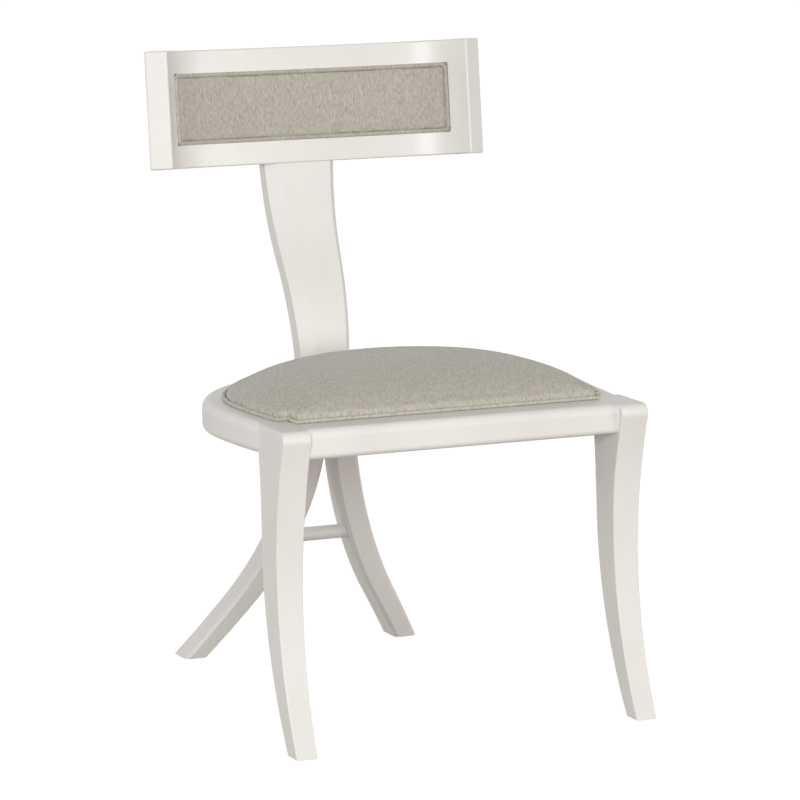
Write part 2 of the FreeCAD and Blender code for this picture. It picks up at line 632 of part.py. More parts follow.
def build_rear_legs():
    """Rear legs: swept back in the side view, splayed in the front view, and upright inside the back rail."""
    body = new_body("rear_leg_right")
    profile = new_sketch(body, "YZ")
    draw_outline(profile, [
        (behind("rear_foot_line"), "glide_height"),
        (behind("rear_heel_line"), "glide_height"),
        (behind("post_line + post_depth"), "waist_height"),
        (behind("back_foot_line"), "seat_height"),
        (behind("splat_foot_line"), "seat_height"),
        (behind("post_line"), "waist_height"),
    ], {1: (-1, "post_sweep - post_depth"), 4: (1, "splat_low_radius"), 5: (1, "post_sweep")})
    pad(body, profile, "post_half + foot_reach")
    trim = new_sketch(body, "XZ")
    draw_outline(trim, [
        ("0", "seat_height + overcut"),
        ("0", "waist_height"),
        ("knee_reach", "knee_height"),
        ("post_half + foot_reach - rear_foot_width", "glide_height"),
        ("post_half + foot_reach - rear_foot_width", "glide_height - overcut"),
        ("-overcut", "glide_height - overcut"),
        ("-overcut", "seat_height + overcut"),
    ], {1: (1, "leg_bow")})
    pocket(body, trim)
    trim = new_sketch(body, "XZ")
    draw_outline(trim, [
        ("post_half", "seat_height + overcut"),
        ("post_half", "waist_height"),
        ("post_half + knee_reach", "knee_height"),
        ("post_half + foot_reach", "glide_height"),
        ("post_half + foot_reach", "glide_height - overcut"),
        ("post_half + foot_reach + overcut", "glide_height - overcut"),
        ("post_half + foot_reach + overcut", "seat_height + overcut"),
    ], {1: (1, "leg_bow")})
    pocket(body, trim)

    def upright(edge):
        return abs(direction_of(edge).z) > 0.3 and edge.Length > number("post_depth") / 3

    def front(edge):
        point = middle_of(edge)
        radius = number("post_sweep")
        sag = radius - math.sqrt(radius**2 - (number("waist_height") - point.z) ** 2)
        return upright(edge) and abs(point.y - number(behind("post_line")) - sag) < number("edge_ease")
    bevel(body, front, "leg_chamfer", "leg_chamfer", False)
    soften(body, lambda edge: upright(edge) and not front(edge) and is_back(edge), "edge_ease")

    mortise = new_sketch(body, "XY", "seat_height")
    draw_rectangle(mortise, *tenon_sides(1, "fit_gap"))
    pocket(body, mortise, "2 * (splat_tenon_length + fit_gap)")
    socket = new_sketch(body, "YZ")
    draw_circle(socket, behind("stretcher_line"), "stretcher_height", "stretcher_socket")
    pocket(body, socket, "2 * (stretcher_half + fit_gap)")
    bolt = new_sketch(body, "XZ", f"-({behind('post_line')})")
    draw_circle(bolt, "bolt_offset", "rail_middle", "bolt_diameter + 2 * fit_gap")
    pocket(body, bolt, f"2 * (bolt_length + {BOLT_SEAT} - post_line + fit_gap)")
    nail = new_sketch(body, "XY", "glide_height")
    draw_circle(nail, "rear_foot_x", behind("rear_foot_middle"), "nail_diameter + 2 * fit_gap")
    pocket(body, nail, "2 * (nail_length + fit_gap)")
    finish("rear_leg_right", body)
    other = DOC.addObject("Part::Mirroring", "rear_leg_left")
    other.Source = body
    other.Normal = Vector(1, 0, 0)
    DOC.recompute()
    finish("rear_leg_left", other)


def is_back(edge):
    """Whether an edge of a rear leg lies on its back."""
    point = middle_of(edge)
    radius = number("post_sweep - post_depth")
    if point.z > number("waist_height"):
        return point.y > number(behind("post_line + post_depth")) - 1
    back = number(behind("post_centre")) - math.sqrt(radius**2 - (number("waist_height") - point.z) ** 2)
    return abs(point.y - back) < 1


def tenon_sides(side, gap):
    """Left, right, front and back of a lower tenon of the splat, grown by a gap."""
    return (
        f"{side} * splat_tenon_offset - splat_tenon_width / 2 - {gap}",
        f"{side} * splat_tenon_offset + splat_tenon_width / 2 + {gap}",
        behind(f"(splat_foot_line + back_foot_line) / 2 - splat_tenon_depth / 2 - {gap}"),
        behind(f"(splat_foot_line + back_foot_line) / 2 + splat_tenon_depth / 2 + {gap}"),
    )


def build_stretcher():
    """Round stretcher whose ends sit in sockets of the rear legs."""
    body = new_body("rear_stretcher")
    section = new_sketch(body, "YZ")
    draw_circle(section, behind("stretcher_line"), "stretcher_height", "stretcher_diameter")
    pad(body, section, "2 * stretcher_half", both=True)
    finish("rear_stretcher", body)


def crest_frame(rise="0"):
    """Frame of the crest rail: X to the right, Y to the back and Z up along the lean."""
    lean = number("crest_rake")
    turn = Rotation(Vector(1, 0, 0), -lean)
    base = Vector(0, number(behind("crest_line")), number("crest_foot_height"))
    return Placement(base + turn.multVec(Vector(0, 0, number(rise))), turn)


def crest_corner(side, sweep, offset):
    """Corner of the crest rail's plan at an angle of its end arc, offset backwards from the front."""
    radius = f"(hook_radius + ({offset}))"
    return (f"{side} * (hook_centre_x + {radius} * sin({sweep}))", f"hook_centre_y + {radius} * cos({sweep})")


def draw_crest_strip(sketch, front, back, sweep):
    """Draw a strip that follows the crest rail, between two offsets from its front, out to an angle."""
    corners = [crest_corner(side, angle, front)
               for side, angle in ((1, sweep), (1, "crest_turn"), (-1, "crest_turn"), (-1, sweep))]
    corners += [crest_corner(side, angle, back)
                for side, angle in ((-1, sweep), (-1, "crest_turn"), (1, "crest_turn"), (1, sweep))]
    arcs = {}
    for turn, offset, first in ((1, front, 0), (-1, back, 4)):
        arcs[first] = arcs[first + 2] = (turn, f"hook_radius + ({offset})")
        arcs[first + 1] = (turn, f"crest_radius + ({offset})")
    draw_outline(sketch, corners, arcs)


def crest_point(point):
    """A point of the chair in the frame of the crest rail."""
    return crest_frame().inverse().multVec(point)


def build_splat():
    """Curved back splat: widens upwards, faceted along both front edges, tenoned at both ends."""
    body = new_body("back_splat")
    profile = new_sketch(body, "YZ")
    draw_outline(profile, [
        (behind("splat_foot_line"), "seat_height"),
        (behind("back_foot_line"), "seat_height"),
        (behind("back_bend_line"), "back_bend_height"),
        (behind("back_top_line"), "back_top_height"),
        (behind("crest_line"), "crest_foot_height"),
        (behind("bend_line"), "bend_height"),
    ], {
        1: (-1, "low_back_radius"),
        2: (1, "high_back_radius"),
        4: (-1, "splat_high_radius"),
        5: (1, "splat_low_radius"),
    })
    pad(body, profile, "2 * splat_top_half", both=True)
    for side in (-1, 1):
        taper = new_sketch(body, "XZ")
        draw_outline(taper, [
            (f"{side} * post_half", "seat_height"),
            (f"{side} * splat_top_half", "crest_foot_height"),
            (f"{side} * (splat_top_half + overcut)", "crest_foot_height"),
            (f"{side} * (splat_top_half + overcut)", "seat_height"),
        ])
        pocket(body, taper)

    front_faces = [number("splat_low_radius"), number("splat_high_radius")]

    def front(edge):
        lies = [face.Surface.TypeId == "Part::GeomCylinder" and abs(face.Surface.Radius - radius) < 0.01
                for face in body.Shape.ancestorsOfType(edge, Part.Face) for radius in front_faces]
        return any(lies) and abs(direction_of(edge).x) < 0.5

    for side in (-1, 1):
        bevel(body, lambda edge: front(edge) and middle_of(edge).x * side > 0,
              "facet_depth", "facet_width", side > 0)
    back_faces = [number("low_back_radius"), number("high_back_radius")]

    def back(edge):
        lies = [face.Surface.TypeId == "Part::GeomCylinder" and abs(face.Surface.Radius - radius) < 0.01
                for face in body.Shape.ancestorsOfType(edge, Part.Face) for radius in back_faces]
        return any(lies) and abs(direction_of(edge).x) < 0.5

    soften(body, back, "edge_ease")
    for side in (-1, 1):
        tenon = new_sketch(body, "XY", "seat_height - splat_tenon_length")
        draw_rectangle(tenon, *tenon_sides(side, "0"))
        pad(body, tenon, "splat_tenon_length")
    tenon = new_sketch(body, frame=crest_frame())
    draw_rectangle(tenon, "-crest_tenon_half", "crest_tenon_half",
                   "(splat_top_depth - crest_tenon_depth) / 2", "(splat_top_depth + crest_tenon_depth) / 2")
    pad(body, tenon, "crest_tenon_length")
    finish("back_splat", body)


def build_crest():
    """Crest rail: three arcs in plan, leaning back, with a mortise below and a shallow recess for the pad."""
    body = new_body("crest_rail")
    plan = new_sketch(body, frame=crest_frame())
    draw_crest_strip(plan, "0", "crest_thickness", "crest_sweep")
    pad(body, plan, "crest_height")
    end = crest_corner(1, "crest_sweep", "0")

    def outer(edge):
        point = crest_point(middle_of(edge))
        level = abs(crest_frame().Rotation.inverted().multVec(direction_of(edge)).z) < 0.1
        return level or abs(point.x) > number(end[0]) - 1
    soften(body, outer, "crest_ease")
    mortise = new_sketch(body, frame=crest_frame())
    draw_rectangle(
        mortise, "-crest_tenon_half - fit_gap", "crest_tenon_half + fit_gap",
        "(splat_top_depth - crest_tenon_depth) / 2 - fit_gap",
        "(splat_top_depth + crest_tenon_depth) / 2 + fit_gap",
    )
    pocket(body, mortise, "2 * (crest_tenon_length + fit_gap)")
    recess = new_sketch(body, frame=crest_frame("pad_middle"))
    draw_crest_strip(recess, "-hook_radius / 2", "pad_recess", "pad_sweep")
    pocket(body, recess, "pad_height")
    for x, rise in pad_screws():
        for diameter, setback in ((SCREW_BORE, "0"), (HEAD_BORE, "crest_thickness")):
            hole = new_sketch(body, frame=pad_screw_frame(x, rise, setback))
            draw_circle(hole, "0", "0", diameter)
            pocket(body, hole, "2 * crest_thickness")
    finish("crest_rail", body)


def pad_screws():
    """Places of the screws behind the back pad, as signs of x and of height."""
    return [(x, rise) for rise in (-1, 1) for x in (-1, 1)]


def pad_screw_frame(x, rise, setback="0"):
    """Frame at the seat of a head, or behind it by a setback: Z runs forward along the screw."""
    across = x * number(PAD_SCREW_X)
    sag = across**2 / (2 * number("crest_radius"))
    depth = number(f"pad_recess - pad_board_thickness + tip_cover + pad_screw_length + {setback}") - sag
    seat = Vector(across, depth, number(f"pad_middle + ({rise}) * {PAD_SCREW_RISE}"))
    return crest_frame() * Placement(seat, Rotation(Vector(1, 0, 0), 90))


def shrink_angle(inset):
    """Angle at the end of the pad, moved in by a length."""
    return f"(pad_sweep - ({inset}) / hook_radius * 180 / pi)"


def crest_offset(point):
    """How far a point in the crest rail's frame lies behind the front of the crest rail."""
    x, y = abs(point.x), point.y
    if x > number("crest_radius * sin(crest_turn)"):
        return math.hypot(x - number("hook_centre_x"), y - number("hook_centre_y")) - number("hook_radius")
    return math.hypot(x, y + number("crest_radius")) - number("crest_radius")


def build_pad_plate(body, front, back, inset, corner):
    """A plate that follows the crest rail inside the recess, its corners rounded in the front view."""
    plan = new_sketch(body, frame=crest_frame("pad_middle"))
    draw_crest_strip(plan, front, back, shrink_angle(inset))
    pad(body, plan, f"pad_height - 2 * ({inset})", both=True)
    round_corners(body, front, back, inset, corner)


def round_corners(body, front, back, inset, corner):
    """Round the four corners of a plate or of an opening of that size."""
    reach = number(f"pad_height / 2 - ({inset})")
    ends = [number(crest_corner(1, shrink_angle(inset), offset)[0]) for offset in (front, back)]

    def at_corner(edge):
        point = crest_point(middle_of(edge))
        on_level = abs(abs(point.z - number("pad_middle")) - reach) < 0.1
        at_end = min(ends) - 0.1 < abs(point.x) < max(ends) + 0.1
        return on_level and at_end and edge.Curve.TypeId == "Part::GeomLine"
    soften(body, at_corner, corner)


def build_crest_pad():
    """Board, foam, cover and welt of the back pad, all seated in the recess of the crest rail."""
    face = "pad_recess - pad_board_thickness"
    board = new_body("crest_pad_board")
    build_pad_plate(board, face, "pad_recess", "pad_inset", "pad_corner")
    for x, rise in pad_screws():
        hole = new_sketch(board, frame=pad_screw_frame(x, rise))
        draw_circle(hole, "0", "0", SCREW_BORE)
        pocket(board, hole, "2 * (pad_screw_length + fit_gap)")
    finish("crest_pad_board", board)

    rim = "welt_diameter + 2 * pad_inset"
    outer = new_body("pad_cover_form")
    build_pad_plate(outer, "-pad_crown", face, rim, "pad_corner - welt_diameter")
    soften(outer, lambda edge: abs(crest_offset(crest_point(middle_of(edge))) + number("pad_crown")) < 0.1
           and not is_seam(edge), "pad_edge_round")
    inner = f"{rim} + cover_thickness"
    hollow = new_body("pad_cover_hollow")
    build_pad_plate(hollow, "cover_thickness - pad_crown", "pad_recess", inner,
                    "pad_corner - welt_diameter - cover_thickness")
    cut_piece("crest_pad_cover", outer, hollow)

    foam = new_body("crest_pad_foam")
    filling = f"{inner} + fit_gap"
    build_pad_plate(foam, "cover_thickness + fit_gap - pad_crown", face, filling,
                    "pad_corner - welt_diameter - cover_thickness - fit_gap")
    finish("crest_pad_foam", foam)

    welt = new_body("crest_pad_welt")
    front, back = "-welt_diameter / 2 - welt_lift", "welt_diameter / 2 - welt_lift"
    build_pad_plate(welt, front, back, "pad_inset", "pad_corner")
    opening = new_sketch(welt, frame=crest_frame("pad_middle"))
    draw_crest_strip(opening, "-hook_radius / 2", "pad_recess", shrink_angle("pad_inset + welt_diameter"))
    pocket(welt, opening, "pad_height - 2 * (pad_inset + welt_diameter)")
    round_corners(welt, front, back, "pad_inset + welt_diameter", "pad_corner - welt_diameter")
    soften(welt, lambda edge: not is_seam(edge) and is_welt_rim(edge), "welt_diameter * 0.45")
    finish("crest_pad_welt", welt)


def is_seam(edge):
    """Whether an edge only joins two faces that run on smoothly, across the crest rail's sweep."""
    point = crest_point(middle_of(edge))
    upright = abs(crest_frame().Rotation.inverted().multVec(direction_of(edge)).z) > 0.99
    return upright and abs(abs(point.x) - number("crest_radius * sin(crest_turn)")) < 3


def is_welt_rim(edge):
    """Whether an edge of the welt's square ring runs along the ring."""
    offset = crest_offset(crest_point(middle_of(edge))) + number("welt_lift")
    return abs(abs(offset) - number("welt_diameter") / 2) < 0.05


def build_seat_board():
    """Plywood board under the cushion, screwed to the blocks and the back rail."""
    body = new_body("seat_board")
    cushion_plan(body, "seat_height", "welt_diameter + cover_thickness + board_inset", "board_thickness")
    screws = new_sketch(body, "XY", "seat_height")
    for side in (-1, 1):
        draw_circle(screws, f"{side} * {BLOCK_SCREW_X}", behind(BLOCK_SCREW_LINE), SCREW_BORE)
        draw_circle(screws, f"{side} * {BACK_SCREW_X}", behind(BACK_SCREW_LINE), SCREW_BORE)
    pocket(body, screws, "2 * (board_thickness - tip_cover + fit_gap)")
    finish("seat_board", body)


def cushion_corners(inset):
    """Corners of the seat cushion's outline with its notches around the front legs, moved in by inset."""
    sides = f"side_ledge + ({inset})"
    notch_x = f"(leg_inner - notch_gap - ({inset}))"
    notch_line = f"leg_back_line + notch_gap + ({inset})"
    half = [
        (notch_x, behind(f"cushion_front_line + ({inset})")),
        (notch_x, behind(notch_line)),
        (side_x(sides, notch_line), behind(notch_line)),
        (f"(seat_half - ({sides}))", behind("widest_line")),
        (bend_x(sides), bend_y(sides)),
    ]
    return half + [(f"-{x}", y) for x, y in reversed(half)]


def cushion_arcs(inset):
    """Arcs between those corners."""
    sides = f"side_ledge + ({inset})"
    return {
        2: (1, f"side_sweep - ({sides})"),
        3: (1, f"bend_radius - ({sides})"),
        4: (1, f"back_radius - ({sides})"),
        5: (1, f"bend_radius - ({sides})"),
        6: (1, f"side_sweep - ({sides})"),
    }


def cushion_plan(body, height, inset, thickness):
    """Pad the cushion's outline upwards from a height."""
    plan = new_sketch(body, "XY", height)
    draw_outline(plan, cushion_corners(inset), cushion_arcs(inset))
    pad(body, plan, thickness)


# Sections of the cushion from its welt up to the crown: part of the crown's height, and the draw-in.
CUSHION_SECTIONS = ((0.0, 0.0), (0.13, 0.0), (0.33, 0.0), (0.58, 6.0), (0.80, 22.0), (0.94, 55.0), (1.0, 105.0))


def draw_dome_section(sketch, inset):
    """Draw the cushion's outline without its notches, moved in by inset."""
    sides = f"side_ledge + ({inset})"
    front = f"cushion_front_line + ({inset})"
    half = [
        (side_x(sides, front), behind(front)),
        (f"(seat_half - ({sides}))", behind("widest_line")),
        (bend_x(sides), bend_y(sides)),
    ]
    draw_outline(sketch, half + [(f"-{x}", y) for x, y in reversed(half)], {
        0: (1, f"side_sweep - ({sides})"),
        1: (1, f"bend_radius - ({sides})"),
        2: (1, f"back_radius - ({sides})"),
        3: (1, f"bend_radius - ({sides})"),
        4: (1, f"side_sweep - ({sides})"),
    })


def build_cushion_form(name, inset):
    """Domed solid of the cushion, drawn in by inset on every side and at the top, notched around the legs."""
    body = new_body(name)
    sections = []
    for part_height, drawn in CUSHION_SECTIONS:
        sketch = new_sketch(body, "XY", f"seat_height + fit_gap + {part_height} * (cushion_crown - ({inset}))")
        draw_dome_section(sketch, f"welt_diameter + fit_gap + {drawn} + ({inset})")
        sections.append(sketch)
    loft = body.newObject("PartDesign::AdditiveLoft", "Loft")
    loft.Profile = sections[0]
    loft.Sections = sections[1:]
    DOC.recompute()
    notch_x = f"(leg_inner - notch_gap - welt_diameter - fit_gap - ({inset}))"
    notch_line = behind(f"leg_back_line + notch_gap + welt_diameter + fit_gap + ({inset})")
    for side in (-1, 1):
        notch = new_sketch(body, "XY", "seat_height")
        draw_rectangle(notch, f"{side} * {notch_x}", f"{side} * seat_half",
                       behind("cushion_front_line - overcut"), notch_line)
        pocket(body, notch)
    return body


def build_seat_cushion():
    """Foam, fabric cover and welt of the seat."""
    outer = build_cushion_form("cover_form", "0")
    hollow = build_cushion_form("cover_hollow", "cover_thickness")
    below = new_sketch(hollow, "XY", "seat_height - overcut")
    draw_dome_section(below, "welt_diameter + 2 * fit_gap + cover_thickness + rail_width")
    pad(hollow, below, "2 * overcut")
    cut_piece("seat_cover", outer, hollow)
    foam = build_cushion_form("seat_foam", "cover_thickness + fit_gap")
    under = new_sketch(foam, "XY", "seat_height")
    draw_rectangle(under, "-seat_half", "seat_half", behind("0"), behind("seat_back_line"))
    pocket(foam, under, "2 * board_thickness")
    finish("seat_foam", foam)


def build_seat_welt():
    """Welt around the foot of the cushion: a round section swept along the cushion's outline."""
    body = new_body("seat_welt")
    path = new_sketch(body, "XY", "seat_height + welt_diameter / 2 + fit_gap")
    draw_outline(path, cushion_corners("welt_diameter / 2"), cushion_arcs("welt_diameter / 2"))
    section = new_sketch(body, "YZ")
    draw_circle(section, behind("cushion_front_line + welt_diameter / 2"),
                "seat_height + welt_diameter / 2 + fit_gap", "welt_diameter")
    sweep = body.newObject("PartDesign::AdditivePipe", "Pipe")
    sweep.Profile = section
    sweep.Spine = path
    sweep.Transition = "Round corner"
    DOC.recompute()
    finish("seat_welt", body)


def build_glide(name, x, line):
    """Nail-on foot glide."""
    body = new_body(name)
    disc = new_sketch(body)
    draw_circle(disc, x, behind(line), "glide_diameter")
    pad(body, disc, "glide_height")
    bevel(body, lambda edge: middle_of(edge).z < 0.1, "glide_height / 2", "glide_height / 2", False)
    nail = new_sketch(body, "XY", "glide_height")
    draw_circle(nail, x, behind(line), "nail_diameter")
    pad(body, nail, "nail_length")
    finish(name, body)


def build_round_body(name, length, diameter, head_diameter=None, head_height=None, drive=None):
    """A dowel, screw or bolt along Z with the seat of its head at Z = 0, and a slot or a square in the head."""
    body = new_body(name)
    shank = new_sketch(body)
    draw_circle(shank, "0", "0", diameter)
    pad(body, shank, length)
    tip, point = number(length), f"({diameter}) / 5"
    bevel(body, lambda edge: abs(middle_of(edge).z - tip) < 0.01, point, point, False)
    if head_diameter:
        head = new_sketch(body, "XY", f"-{head_height}")
        draw_circle(head, "0", "0", head_diameter)
        pad(body, head, head_height)
        slot = new_sketch(body, "XY", f"-{head_height}")
        half = f"({head_diameter}) * {drive}"
        draw_rectangle(slot, f"-{half}", half, f"-({head_height}) * 0.3", f"({head_height}) * 0.3")
        pocket(body, slot, f"({head_height}) * 0.9")
    return body


def build_group(name, model, frames):
    """Copies of one fastener as separate solids under one name."""
    links = []
    for frame in frames:
        link = DOC.addObject("App::Link", "Link")
        link.LinkedObject = model
        link.Placement = frame
        links.append(link)
    group = DOC.addObject("Part::Compound", name)
    group.Links = links
    DOC.recompute()
    finish(name, group)


def aimed(x, line, height, direction):
    """Frame at a point of the chair whose Z runs along a direction."""
    point = Vector(number(x), number(behind(line)), number(height))
    return Placement(point, Rotation(Vector(0, 0, 1), Vector(*direction)))


def build_fasteners():
    """Dowels, screws and bolts."""
    dowel = build_round_body("dowel", "dowel_length", "dowel_diameter")
    half = number("dowel_length") / 2
    spacing = number("dowel_spacing") / 2
    frames = []
    for side in (-1, 1):
        for step in (-1, 1):
            height = f"rail_middle + {step} * dowel_spacing / 2"
            x = f"{side} * {LEG_DOWEL_X}"
            frames.append(aimed(x, "leg_back_line - dowel_length / 2", height, (0, 1, 0)))
            frames.append(bend_frame(side) * Placement(Vector(step * spacing, 0, -half), Rotation()))
    build_group("rail_dowels", dowel, frames)

    screw = build_round_body("block_screw", "block_screw_length", "screw_diameter",
                             "screw_head_diameter", "screw_head_height", 0.6)
    frames = []
    for side in (-1, 1):
        frames.append(aimed(f"{side} * {FRONT_SCREW_X}", f"{FRONT_SCREW_TIP} + block_screw_length",
                            FRONT_SCREW_HEIGHT, (0, -1, 0)))
        frames.append(aimed(f"{side} * ({SIDE_SCREW_TIP} - block_screw_length)", SIDE_SCREW_LINE,
                            SIDE_SCREW_HEIGHT, (side, 0, 0)))
    build_group("corner_block_screws", screw, frames)

    screw = build_round_body("seat_screw", "seat_screw_length", "screw_diameter",
                             "screw_head_diameter", "screw_head_height", 0.6)
    frames = []
    for side in (-1, 1):
        frames.append(aimed(f"{side} * {BLOCK_SCREW_X}", BLOCK_SCREW_LINE, SCREW_SEAT, (0, 0, 1)))
        frames.append(aimed(f"{side} * {BACK_SCREW_X}", BACK_SCREW_LINE, SCREW_SEAT, (0, 0, 1)))
    build_group("seat_screws", screw, frames)

    bolt = build_round_body("frame_bolt", "bolt_length", "bolt_diameter",
                            "bolt_head_diameter", "bolt_head_height", 0.2)
    frames = [aimed(f"{side} * bolt_offset", BOLT_SEAT, "rail_middle", (0, 1, 0)) for side in (-1, 1)]
    build_group("frame_bolts", bolt, frames)

    screw = build_round_body("pad_screw", "pad_screw_length", "screw_diameter",
                             "screw_head_diameter", "screw_head_height", 0.6)
    build_group("crest_pad_screws", screw, [pad_screw_frame(x, rise) for x, rise in pad_screws()])


def build_all():
    """Build every piece of the chair."""
    fill_sheet()
    for name, side in (("front_leg_left", -1), ("front_leg_right", 1)):
        build_front_leg(name, side)
    build_front_rail()
    for name, side in (("seat_rail_left", -1), ("seat_rail_right", 1)):
        build_side_rail(name, side)
    build_back_rail()
    for name, side in (("corner_block_left", -1), ("corner_block_right", 1)):
        build_corner_block(name, side)
    build_rear_legs()
    build_stretcher()
    build_splat()
    build_crest()
    build_crest_pad()
    build_seat_board()
    build_seat_cushion()
    build_seat_welt()
    for side, word in ((-1, "left"), (1, "right")):
        build_glide(f"glide_front_{word}", f"{side} * front_foot_x", "foot_depth / 2")
        build_glide(f"glide_rear_{word}", f"{side} * rear_foot_x", "rear_foot_middle")
    build_fasteners()


def write_parts():
    """Check every object and write each piece to its own file."""
    DOC.recompute()
    for item in DOC.Objects:
        if "Invalid" in item.State or "Error" in item.State:
            raise RuntimeError(f"{item.Name} failed: {item.State}")
    os.makedirs("parts", exist_ok=True)
    for name, piece in PARTS.items():
        shape = piece.Shape
        if shape.isNull() or not shape.isValid() or not shape.Solids:
            raise RuntimeError(f"{name} has no valid shape")
        shape.exportStep(os.path.join("parts", f"{name}.step"))
        print(f"{name}: {len(shape.Solids)} solid(s), {shape.Volume / 1000:.1f} cm3")


build_all()
write_parts()
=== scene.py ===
"""A klismos chair: satin off-white frame, domed seat cushion and padded crest rail, in a white studio.

The painted frame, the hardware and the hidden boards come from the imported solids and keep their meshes. The
cushion, the back pad and their welts are modelled here, in the places that their solids hold. Lengths are in metres.
"""

import logging
import math
from collections.abc import Callable
from dataclasses import dataclass
from enum import Enum

import bmesh
import bpy
import numpy as np
from mathutils import Matrix, Vector


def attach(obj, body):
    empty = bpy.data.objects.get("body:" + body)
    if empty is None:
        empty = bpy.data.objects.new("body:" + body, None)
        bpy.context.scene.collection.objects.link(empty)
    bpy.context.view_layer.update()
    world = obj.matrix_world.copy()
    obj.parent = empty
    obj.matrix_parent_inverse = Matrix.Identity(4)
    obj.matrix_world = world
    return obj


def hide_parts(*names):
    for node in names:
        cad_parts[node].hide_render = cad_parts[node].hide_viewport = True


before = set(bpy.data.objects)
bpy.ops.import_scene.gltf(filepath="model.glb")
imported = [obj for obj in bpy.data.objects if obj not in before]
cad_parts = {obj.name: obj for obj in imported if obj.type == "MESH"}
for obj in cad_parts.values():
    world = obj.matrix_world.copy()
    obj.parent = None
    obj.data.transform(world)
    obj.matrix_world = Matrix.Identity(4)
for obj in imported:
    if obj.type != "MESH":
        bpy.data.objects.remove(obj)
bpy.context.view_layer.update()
LOG = logging.getLogger("klismos")
TOE_REACH = 0.31643  # from the front toes to the middle of the chair
SEAT_HEIGHT = 0.430  # top of the seat rails
WELD = 1e-5  # points that lie closer than this are one


class Cast(Enum):
    """Undertones that the fabric's yarns are spun in."""

    STONE = (0.54, 0.52, 0.45)
    SHADOW = (0.37, 0.35, 0.295)
    ROSE = (0.57, 0.48, 0.42)


class Role(Enum):
    """What a lamp does for the picture."""

    KEY = "key"
    FILL = "fill"
    RIM = "rim"


def linear(red: int, green: int, blue: int) -> tuple[float, float, float, float]:
    """Turn a display colour into the linear colour that a shader takes.

    Args:
        red: Display red, 0 to 255.
        green: Display green, 0 to 255.
        blue: Display blue, 0 to 255.

    Returns:
        The linear colour with an alpha of 1.
    """
    def channel(value: int) -> float:
        """Return one linear channel."""
        share = value / 255
        return share / 12.92 if share <= 0.04045 else ((share + 0.055) / 1.055) ** 2.4

    return channel(red), channel(green), channel(blue), 1.0


class NodeTree:
    """A short way to lay out a material's nodes."""

    def __init__(self, name: str) -> None:
        """Start a material with only its output and its main shader.

        Args:
            name: Name of the material.
        """
        self.material = bpy.data.materials.new(name)
        self.material.use_nodes = True
        self.tree = self.material.node_tree
        self.shader = self.tree.nodes["Principled BSDF"]
        self.coordinates = self.tree.nodes.new("ShaderNodeTexCoord").outputs["Object"]

    def link(self, source: bpy.types.NodeSocket, target: bpy.types.NodeSocket) -> None:
        """Join two sockets."""
        self.tree.links.new(source, target)

    def stretched(self, scale: tuple[float, float, float]) -> bpy.types.NodeSocket:
        """Scale the object's coordinates.

        Args:
            scale: Repeats per metre along X, Y and Z.

        Returns:
            The scaled coordinates.
        """
        mapping = self.tree.nodes.new("ShaderNodeMapping")
        mapping.inputs["Scale"].default_value = scale
        self.link(self.coordinates, mapping.inputs["Vector"])
        return mapping.outputs["Vector"]

    def noise(
        self, scale: tuple[float, float, float], detail: float, rough: float = 0.5
    ) -> bpy.types.NodeSocket:
        """Add a noise on stretched coordinates.

        Args:
            scale: Repeats per metre along X, Y and Z.
            detail: Octaves.
            rough: How strong the finer octaves are.

        Returns:
            The noise's value.
        """
        texture = self.tree.nodes.new("ShaderNodeTexNoise")
        texture.inputs["Scale"].default_value = 1.0
        texture.inputs["Detail"].default_value = detail
        texture.inputs["Roughness"].default_value = rough
        self.link(self.stretched(scale), texture.inputs["Vector"])
        return texture.outputs["Fac"]

    def ramp(self, value: bpy.types.NodeSocket, low: float, high: float) -> bpy.types.NodeSocket:
        """Spread a range of a value over 0 to 1.

        Args:
            value: The value.
            low: What becomes 0.
            high: What becomes 1.

        Returns:
            The spread value, clamped.
        """
        spread = self.tree.nodes.new("ShaderNodeMapRange")
        spread.inputs["From Min"].default_value = low
        spread.inputs["From Max"].default_value = high
        self.link(value, spread.inputs["Value"])
        return spread.outputs["Result"]

    def mix(
        self,
        share: bpy.types.NodeSocket,
        first: tuple[float, ...] | bpy.types.NodeSocket,
        second: tuple[float, ...] | bpy.types.NodeSocket,
    ) -> bpy.types.NodeSocket:
        """Mix two colours.

        Args:
            share: How much of the second.
            first: A colour or a socket with one.
            second: A colour or a socket with one.

        Returns:
            The mixed colour.
        """
        node = self.tree.nodes.new("ShaderNodeMix")
        node.data_type = "RGBA"
        self.link(share, node.inputs["Factor"])
        for socket, colour in ((node.inputs["A"], first), (node.inputs["B"], second)):
            if isinstance(colour, bpy.types.NodeSocket):
                self.link(colour, socket)
            else:
                socket.default_value = (*colour[:3], 1.0)
        return node.outputs["Result"]

    def math(
        self, operation: str, first: bpy.types.NodeSocket, second: bpy.types.NodeSocket | float
    ) -> bpy.types.NodeSocket:
        """Combine two values.

        Args:
            operation: Name of the operation.
            first: First value.
            second: Second value, as a socket or a number.

        Returns:
            The result.
        """
        node = self.tree.nodes.new("ShaderNodeMath")
        node.operation = operation
        self.link(first, node.inputs[0])
        if isinstance(second, bpy.types.NodeSocket):
            self.link(second, node.inputs[1])
        else:
            node.inputs[1].default_value = second
        return node.outputs["Value"]

    def bump(self, height: bpy.types.NodeSocket, distance: float, strength: float) -> None:
        """Raise the surface by a height map.

        Args:
            height: The height map.
            distance: Height of the relief in metres.
            strength: How strongly it shows.
        """
        node = self.tree.nodes.new("ShaderNodeBump")
        node.inputs["Distance"].default_value = distance
        node.inputs["Strength"].default_value = strength
        self.link(height, node.inputs["Height"])
        self.link(node.outputs["Normal"], self.shader.inputs["Normal"])


